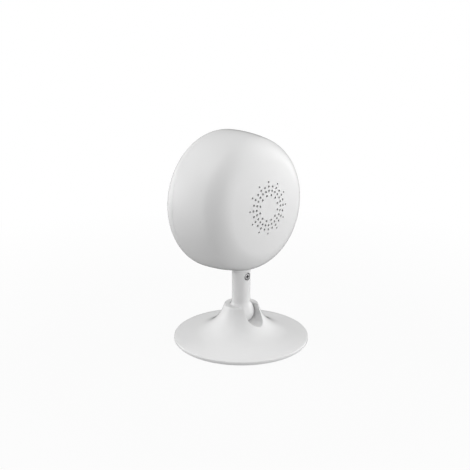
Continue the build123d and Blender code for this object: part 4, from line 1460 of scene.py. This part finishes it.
@dataclass
class SidePorts:
    """The power socket, the card slot and the reset button on the head's own right side."""

    room: float = 0.3 * MM
    slip: float = 0.05 * MM
    power_angle: float = 0.0
    power_y: float = box_middle("usb_socket").y
    power_mouth: float = -low_end("usb_socket", X)
    power_width: float = 8.94 * MM
    power_height: float = 3.26 * MM
    power_depth: float = 7.4 * MM
    power_wall: float = 0.3 * MM
    back_thickness: float = 1.5 * MM
    tongue_width: float = 6.7 * MM
    tongue_thickness: float = 0.7 * MM
    tongue_short: float = 0.6 * MM
    contact_count: int = 12
    contact_pitch: float = 0.5 * MM
    contact_width: float = 0.25 * MM
    contact_height: float = 0.04 * MM
    contact_length: float = 4.2 * MM
    card_angle: float = 36.0
    card_y: float = box_middle("card_socket").y
    card_width: float = 12.0 * MM
    card_gap: float = 1.3 * MM
    reset_angle: float = -23.0
    reset_y: float = box_middle("reset_button").y
    button_radius: float = 1.15 * MM
    button_flange: float = 1.8 * MM
    button_flange_thickness: float = 0.8 * MM
    button_dish: float = 0.25 * MM

    def __post_init__(self) -> None:
        """Find the reset button's two ends along its leaning axis, from its box."""
        lean = math.radians(abs(self.reset_angle))
        face_x, foot_x = low_end("reset_button", X), high_end("reset_button", X)
        self.button_face = (-face_x - self.button_radius * math.sin(lean)) / math.cos(lean)
        self.button_foot = (-foot_x + self.button_flange * math.sin(lean)) / math.cos(lean)

    def power_place(self, depth: float) -> Matrix:
        """Return a place in the power socket, some way behind its mouth."""
        return side_place(self.power_angle, self.power_y, self.power_mouth - depth)

    def power_shell(self) -> bmesh.types.BMesh:
        """Build the socket's drawn metal shell.

        Returns:
            The shell's closed mesh.
        """
        place = self.power_place(self.power_depth)
        tube = slot_bar(place, self.power_width, self.power_height, self.power_depth, segments=48)
        clear = 2 * self.power_wall
        deeper = place @ Matrix.Translation((0.0, 0.0, -self.power_wall))
        inside = slot_bar(
            deeper, self.power_width - clear, self.power_height - clear, self.power_depth + clear, segments=48
        )
        return carve(tube, inside)

    def power_tongue(self) -> bmesh.types.BMesh:
        """Build the insert: a back plug and the tongue that carries the contacts.

        Returns:
            The insert's closed mesh.
        """
        start = self.power_place(self.power_depth)
        clear = 2 * self.power_wall + 2 * self.contact_height
        plug = slot_bar(start, self.power_width - clear, self.power_height - clear, self.back_thickness)
        reach = self.power_depth - self.tongue_short
        tongue = slot_bar(start, self.tongue_width, self.tongue_thickness, reach)
        return carve(plug, tongue, Carving.JOIN)

    def contacts(self) -> bmesh.types.BMesh:
        """Build the rows of contacts on both faces of the tongue.

        Returns:
            All the contacts in one mesh.
        """
        place = self.power_place(self.tongue_short + self.contact_pitch + self.contact_length / 2)
        size = (self.contact_width, 2 * self.contact_height, self.contact_length)
        strips = []
        for face in (1, -1):
            for number in range(self.contact_count):
                across = (number - (self.contact_count - 1) / 2) * self.contact_pitch
                offset = Matrix.Translation((across, face * self.tongue_thickness / 2, 0.0))
                strips.append(block(place @ offset, size))
        return merged(strips)

    def button(self) -> bmesh.types.BMesh:
        """Build the reset button: a dished cap on a flange.

        Returns:
            The button's closed mesh.
        """
        turn = math.radians(self.reset_angle)
        outwards = (-math.cos(turn), 0.0, math.sin(turn))
        line = Spindle((0.0, self.reset_y, HEAD_Z), outwards, (0.0, 1.0, 0.0))
        shoulder = self.button_foot + self.button_flange_thickness
        soft = self.button_dish / 2
        profile = [
            (self.button_foot, 0.0),
            (self.button_foot, self.button_flange),
            (shoulder, self.button_flange),
            (shoulder, self.button_radius),
            (self.button_face - soft, self.button_radius),
            (self.button_face, self.button_radius - soft),
            (self.button_face - soft, self.button_radius - 2 * soft),
            (self.button_face - self.button_dish, 0.0),
        ]
        return line.spin(profile, segments=48)

    def build(self) -> None:
        """Make the ports' pieces."""
        make_piece("power_shell", self.power_shell(), Body.HEAD, STEEL, ["usb_socket"])
        make_piece("power_tongue", self.power_tongue(), Body.HEAD, DARK_PLASTIC, ["usb_tongue"])
        make_piece("power_contacts", self.contacts(), Body.HEAD, CAP_METAL)
        make_piece("reset_cap", self.button(), Body.RESET, WHITE_SHELL, ["reset_button"])


@dataclass
class CameraFace:
    """The black window, the lens in its ring and barrel, the lamp spots and the status light's guide."""

    window_radius: float = high_end("front_window", X)
    window_front: float = low_end("front_window", Y)
    window_back: float = high_end("front_window", Y)
    window_round: float = 0.3 * MM
    lens_hole: float = 7.4 * MM
    ring_radius: float = 7.3 * MM
    ring_wall: float = 1.0 * MM
    ring_flange: float = high_end("lens_ring", X)
    ring_back: float = high_end("lens_ring", Y)
    ring_soft: float = 0.2 * MM
    barrel_radius: float = high_end("lens_barrel", X)
    barrel_front: float = low_end("lens_barrel", Y)
    barrel_back: float = high_end("lens_barrel", Y)
    barrel_bore: float = 3.0 * MM
    baffles: int = 4
    baffle_step: float = 0.28 * MM
    groove_share: float = 1 / 3
    lens_radius: float = high_end("front_lens", X)
    lens_seat: float = high_end("front_lens", Y)
    lens_edge: float = 1.0 * MM
    slip: float = 0.05 * MM
    rear_radius: float = high_end("rear_lens", X)
    rear_depth: float = 1.2 * MM
    rear_edge: float = 0.5 * MM
    lamp_count: int = 8
    lamp_ring: float = 16.0 * MM
    lamp_spot: float = 1.5 * MM
    spot_height: float = 0.02 * MM
    guide_radius: float = 0.8 * MM
    guide_soft: float = 0.2 * MM
    guide_crown: float = guide_soft / 3
    guide_flange: float = 1.4 * MM
    guide_flange_depth: float = 0.7 * MM

    def window(self) -> bmesh.types.BMesh:
        """Build the window: a disc with a soft outer edge and the lens hole.

        Returns:
            The window's closed mesh.
        """
        soft = self.window_round
        corner = (self.window_front + soft, self.window_radius - soft)
        profile = arc(corner, soft, 180, 90, steps=5) + [(self.window_back, self.window_radius)]
        profile += [(self.window_back, self.lens_hole), (self.window_front, self.lens_hole)]
        return HEAD_LINE.spin(profile, closed=True, segments=160)

    def trim_ring(self) -> bmesh.types.BMesh:
        """Build the ring round the lens, bevelled inwards like a funnel.

        Returns:
            The ring's closed mesh.
        """
        inner = self.ring_radius - self.ring_wall
        soft = self.ring_soft
        profile = [
            (self.window_front + soft, self.ring_radius),
            (self.window_front, self.ring_radius - soft),
            (self.window_front, inner + 2 * soft),
            (self.window_front + 2 * soft, inner),
            (self.ring_back, inner),
            (self.ring_back, self.ring_flange),
            (self.window_back, self.ring_flange),
            (self.window_back, self.ring_radius),
        ]
        return HEAD_LINE.spin(profile, closed=True, segments=128)

    def barrel(self) -> bmesh.types.BMesh:
        """Build the barrel with a stepped front, a seat at each end and a baffled bore.

        Returns:
            The barrel's closed mesh.
        """
        seat_out = self.lens_radius + self.slip
        rear_out = self.rear_radius + self.slip
        rear = self.barrel_back - self.rear_depth
        profile = [
            (self.barrel_front, seat_out + self.baffle_step),
            (self.barrel_front, self.barrel_radius),
            (self.barrel_back, self.barrel_radius),
            (self.barrel_back, rear_out),
            (rear, rear_out),
            (rear, self.barrel_bore),
        ]
        pitch = (rear - self.lens_seat) / (self.baffles + 1)
        groove = self.barrel_bore + self.baffle_step
        for number in range(self.baffles):
            front = rear - (number + 1) * pitch
            back = front + pitch * self.groove_share
            profile += [(back, self.barrel_bore), (back, groove), (front, groove), (front, self.barrel_bore)]
        profile += [(self.lens_seat, self.barrel_bore), (self.lens_seat, seat_out)]
        profile += [(self.barrel_front + self.baffle_step, seat_out)]
        return HEAD_LINE.spin(profile, closed=True, segments=128)

    @staticmethod
    def crown(tip: float, edge: float, radius: float, steps: int) -> Profile:
        """A lens's crowned face, from the axis out to its edge.

        Args:
            tip: where the face meets the axis.
            edge: the edge's place along the axis, on either side of the tip.
            radius: the edge's radius.
            steps: number of chords.

        Returns:
            The face's points.
        """
        height = edge - tip
        reach = (radius**2 + height**2) / (2 * height)
        turn = math.degrees(math.asin(radius / reach))
        return arc((tip + reach, 0.0), reach, 180, 180 - turn, steps)

    def front_lens(self) -> bmesh.types.BMesh:
        """Build the front lens: crowned in front and flat behind.

        Returns:
            The lens's closed mesh.
        """
        profile = self.crown(self.barrel_front, self.lens_seat - self.lens_edge, self.lens_radius, steps=14)
        profile += [(self.lens_seat, self.lens_radius), (self.lens_seat, 0.0)]
        return HEAD_LINE.spin(profile, segments=96)

    def rear_lens(self) -> bmesh.types.BMesh:
        """Build the rear lens: flat in front and crowned behind.

        Returns:
            The lens's closed mesh.
        """
        front = self.barrel_back - self.rear_depth
        face = self.crown(self.barrel_back, front + self.rear_edge, self.rear_radius, steps=12)
        return HEAD_LINE.spin([(front, 0.0), (front, self.rear_radius)] + face[::-1], segments=96)

    def lamp_spots(self) -> bmesh.types.BMesh:
        """Build the thin clear spots over the lamps, on the window's face.

        Returns:
            All the spots in one mesh.
        """
        spots = []
        for number in range(self.lamp_count):
            turn = math.tau * number / self.lamp_count
            x, z = self.lamp_ring * math.cos(turn), HEAD_Z + self.lamp_ring * math.sin(turn)
            place = rear_place(x, self.window_front - self.spot_height, z)
            spots.append(rod(place, self.lamp_spot, 2 * self.spot_height, segments=40))
        return merged(spots)

    def light_guide(self) -> bmesh.types.BMesh:
        """Build the status light's guide: a domed pin on a flange.

        Returns:
            The guide's closed mesh.
        """
        middle = box_middle("light_guide")
        tip, foot = low_end("light_guide", Y), high_end("light_guide", Y)
        shoulder = foot - self.guide_flange_depth
        profile = [
            (tip, 0.0),
            (tip + self.guide_crown, self.guide_radius - self.guide_soft),
            (tip + self.guide_soft, self.guide_radius),
            (shoulder, self.guide_radius),
            (shoulder, self.guide_flange),
            (foot, self.guide_flange),
            (foot, 0.0),
        ]
        return rear_line(middle.x, middle.z).spin(profile, segments=40)

    def build(self) -> None:
        """Make the face's pieces."""
        make_piece("face_window", self.window(), Body.HEAD, BLACK_WINDOW, ["front_window"])
        make_piece("lens_trim", self.trim_ring(), Body.HEAD, TRIM_METAL, ["lens_ring"])
        make_piece("lens_tube", self.barrel(), Body.HEAD, LENS_BLACK, ["lens_barrel"])
        make_piece("lens_front", self.front_lens(), Body.HEAD, LENS_GLASS, ["front_lens"])
        make_piece("lens_rear", self.rear_lens(), Body.HEAD, LENS_GLASS, ["rear_lens"])
        make_piece("lamp_spots", self.lamp_spots(), Body.HEAD, LAMP_SPOTS)
        make_piece("status_guide", self.light_guide(), Body.HEAD, MILKY_GUIDE, ["light_guide"])


@dataclass
class InnerWorks:
    """The pieces that keep their CAD shapes: each gets the finish of its real counterpart."""

    nodes: dict[str, bpy.types.Object]

    def finishes(self) -> dict[Finish, tuple[str, ...]]:
        """List the nodes that keep their shapes.

        Returns:
            The nodes' names under their finish.
        """
        return {
            DARK_PLASTIC: (
                "lens_holder",
                "mid_frame",
                "ir_header",
                "camera_connector",
                "tact_switch",
                "speaker_frame",
            ),
            STEEL: (
                "ballast_ring",
                "base_plate",
                "disc_springs",
                "head_stem",
                "stem_nut",
                "shield_can",
                "card_socket",
            ),
            SCREW_STEEL: ("base_screws", "frame_screws", "board_screws"),
            MAGNET_IRON: ("speaker_magnet",),
            SOFT_BLACK: ("friction_ring", "mic_gasket", "speaker_gasket"),
            BOARD_GREEN: ("main_board", "sensor_board", "ir_board"),
            BOARD_AMBER: ("wifi_antenna",),
            CHIP_BLACK: ("processor", "image_sensor"),
            CAP_METAL: ("microphone",),
            LAMP_CLEAR: ("ir_leds", "status_led", "light_sensor"),
            PLUNGER_TAN: ("switch_plunger",),
            DUST_CLOTH: ("dust_mesh",),
            CONE_PAPER: ("speaker_cone",),
            COIL_COPPER: ("voice_coil",),
            LEAD_RED: ("speaker_leads",),
        }

    def build(self) -> None:
        """Assign the finishes."""
        for finish, names in self.finishes().items():
            for name in names:
                slots = self.nodes[name].data.materials
                slots.clear()
                slots.append(finish.material())
                LOG.info("%s: %s", name, finish.name)


# Studio


@dataclass
class PhotoCamera:
    """The camera at the photograph's viewing angle."""

    azimuth: float = 134.485
    elevation: float = 15.381
    distance: float = 314.215 * MM
    target_z: float = 50.0 * MM
    aim_azimuth: float = 0.572
    aim_elevation: float = -0.457
    lens_mm: float = 50.0
    sensor_mm: float = 36.0
    near_limit: float = 10.0 * MM

    @staticmethod
    def towards(azimuth: float, elevation: float) -> Vector:
        """Return the direction from the object to a viewer."""
        turn, lift = math.radians(azimuth), math.radians(elevation)
        return Vector((math.cos(lift) * math.sin(turn), -math.cos(lift) * math.cos(turn), math.sin(lift)))

    def build(self) -> None:
        """Make the camera and use it."""
        data = bpy.data.cameras.new("photo_camera")
        data.lens = self.lens_mm
        data.sensor_width = self.sensor_mm
        data.clip_start = self.near_limit
        camera = new_object("photo_camera", data)
        target = Vector((0.0, 0.0, self.target_z))
        camera.location = self.towards(self.azimuth, self.elevation) * self.distance + target
        back = self.towards(self.azimuth + self.aim_azimuth, self.elevation + self.aim_elevation)
        camera.rotation_euler = back.to_track_quat("Z", "Y").to_euler()
        bpy.context.scene.camera = camera


@dataclass(frozen=True)
class Softbox:
    """A large soft lamp that faces the object."""

    name: str
    azimuth: float
    elevation: float
    power: float
    distance: float = 0.7
    size: float = 0.42

    def build(self, middle: Vector) -> None:
        """Hang the lamp.

        Args:
            middle: the place that it faces.
        """
        data = bpy.data.lights.new(self.name, "AREA")
        data.shape = "SQUARE"
        data.size = self.size
        data.energy = self.power
        lamp = new_object(self.name, data)
        way = PhotoCamera.towards(self.azimuth, self.elevation)
        lamp.location = middle + way * self.distance
        lamp.rotation_euler = way.to_track_quat("Z", "Y").to_euler()


@dataclass
class Studio:
    """A white floor, a white surround and soft lamps all round the object."""

    floor_size: float = 8.0
    floor_colour: Colour = (0.5, 0.5, 0.5)
    floor_glow: float = 0.94
    shadow_core: float = 0.1
    shadow_reach: float = 0.3
    surround: float = 0.22
    middle_z: float = 55.0 * MM
    softboxes: tuple[Softbox, ...] = (
        Softbox("front_low", azimuth=10.0, elevation=12.0, power=0.45),
        Softbox("front_high", azimuth=10.0, elevation=45.0, power=0.35),
        Softbox("left_low", azimuth=38.0, elevation=10.0, power=2.62),
        Softbox("left_high", azimuth=60.0, elevation=52.0, power=1.5),
        Softbox("right_low", azimuth=250.0, elevation=10.0, power=2.36),
        Softbox("right_high", azimuth=228.0, elevation=52.0, power=1.38),
        Softbox("back_low", azimuth=184.0, elevation=10.0, power=1.8),
    )

    @staticmethod
    def seen_directly(nodes: Wiring) -> bpy.types.NodeSocket:
        """Add nodes that tell a ray of sight, reflection or glass from a ray of light.

        Args:
            nodes: the material's or the world's tree.

        Returns:
            A socket that is 1 for the first kinds and 0 for the last.
        """
        path = nodes.add("LightPath").outputs
        seen = path["Is Camera Ray"]
        for kind in ("Is Glossy Ray", "Is Transmission Ray"):
            either = nodes.add("Math", operation="MAXIMUM")
            nodes.join(seen, either.inputs[0])
            nodes.join(path[kind], either.inputs[1])
            seen = either.outputs["Value"]
        return seen

    def floor_material(self) -> bpy.types.Material:
        """Make a pale floor that takes a shadow and is seen as white.

        Returns:
            The material.
        """
        material = bpy.data.materials.new("studio_floor")
        material.use_nodes = True
        nodes = Wiring(material.node_tree)
        paint = nodes.add("BsdfDiffuse", color=(*self.floor_colour, 1.0))
        glow = nodes.add("Emission", color=(1.0, 1.0, 1.0, 1.0), strength=1.0)
        blend = nodes.add("MixShader")
        distance = nodes.add("VectorMath", operation="LENGTH")
        span = {"from_min": self.shadow_core, "from_max": self.shadow_reach}
        fade = nodes.add("MapRange", **span, to_min=self.floor_glow, to_max=1.0)
        share = nodes.add("Math", operation="MULTIPLY")
        nodes.join(nodes.add("TexCoord").outputs["Object"], distance.inputs[0])
        nodes.join(distance.outputs["Value"], fade.inputs["Value"])
        nodes.join(self.seen_directly(nodes), share.inputs[0])
        nodes.join(fade.outputs["Result"], share.inputs[1])
        nodes.join(share.outputs["Value"], blend.inputs[0])
        nodes.join(paint.outputs["BSDF"], blend.inputs[1])
        nodes.join(glow.outputs["Emission"], blend.inputs[2])
        nodes.join(blend.outputs["Shader"], nodes.add("OutputMaterial").inputs["Surface"])
        return material

    def floor(self) -> None:
        """Lay the floor."""
        mesh = bmesh.new()
        bmesh.ops.create_grid(mesh, x_segments=1, y_segments=1, size=self.floor_size / 2)
        floor = new_object("studio_floor", mesh_data("studio_floor", mesh))
        floor.data.materials.append(self.floor_material())

    def world(self) -> None:
        """Set a surround that is seen as white and gives a low, even light."""
        world = bpy.data.worlds.new("studio_surround")
        bpy.context.scene.world = world
        world.use_nodes = True
        nodes = Wiring(world.node_tree)
        spread = nodes.add("MapRange", to_min=self.surround, to_max=1.0)
        background = nodes.add("Background", color=(1.0, 1.0, 1.0, 1.0))
        nodes.join(self.seen_directly(nodes), spread.inputs["Value"])
        nodes.join(spread.outputs["Result"], background.inputs["Strength"])
        nodes.join(background.outputs["Background"], nodes.add("OutputWorld").inputs["Surface"])

    def build(self) -> None:
        """Make the floor, the surround and the lamps."""
        self.floor()
        self.world()
        for softbox in self.softboxes:
            softbox.build(Vector((0.0, 0.0, self.middle_z)))
        bpy.context.scene.view_settings.view_transform = "Standard"


def main() -> None:
    """Build the camera, the object's sub-assemblies and the studio in order."""
    logging.basicConfig(level=logging.INFO, format="%(name)s %(message)s")
    PhotoCamera().build()
    Stand().build()
    Neck().build()
    HeadCasing().build()
    SidePorts().build()
    CameraFace().build()
    InnerWorks(frame["nodes"]).build()
    Studio().build()


if __name__ == "__main__":
    main()
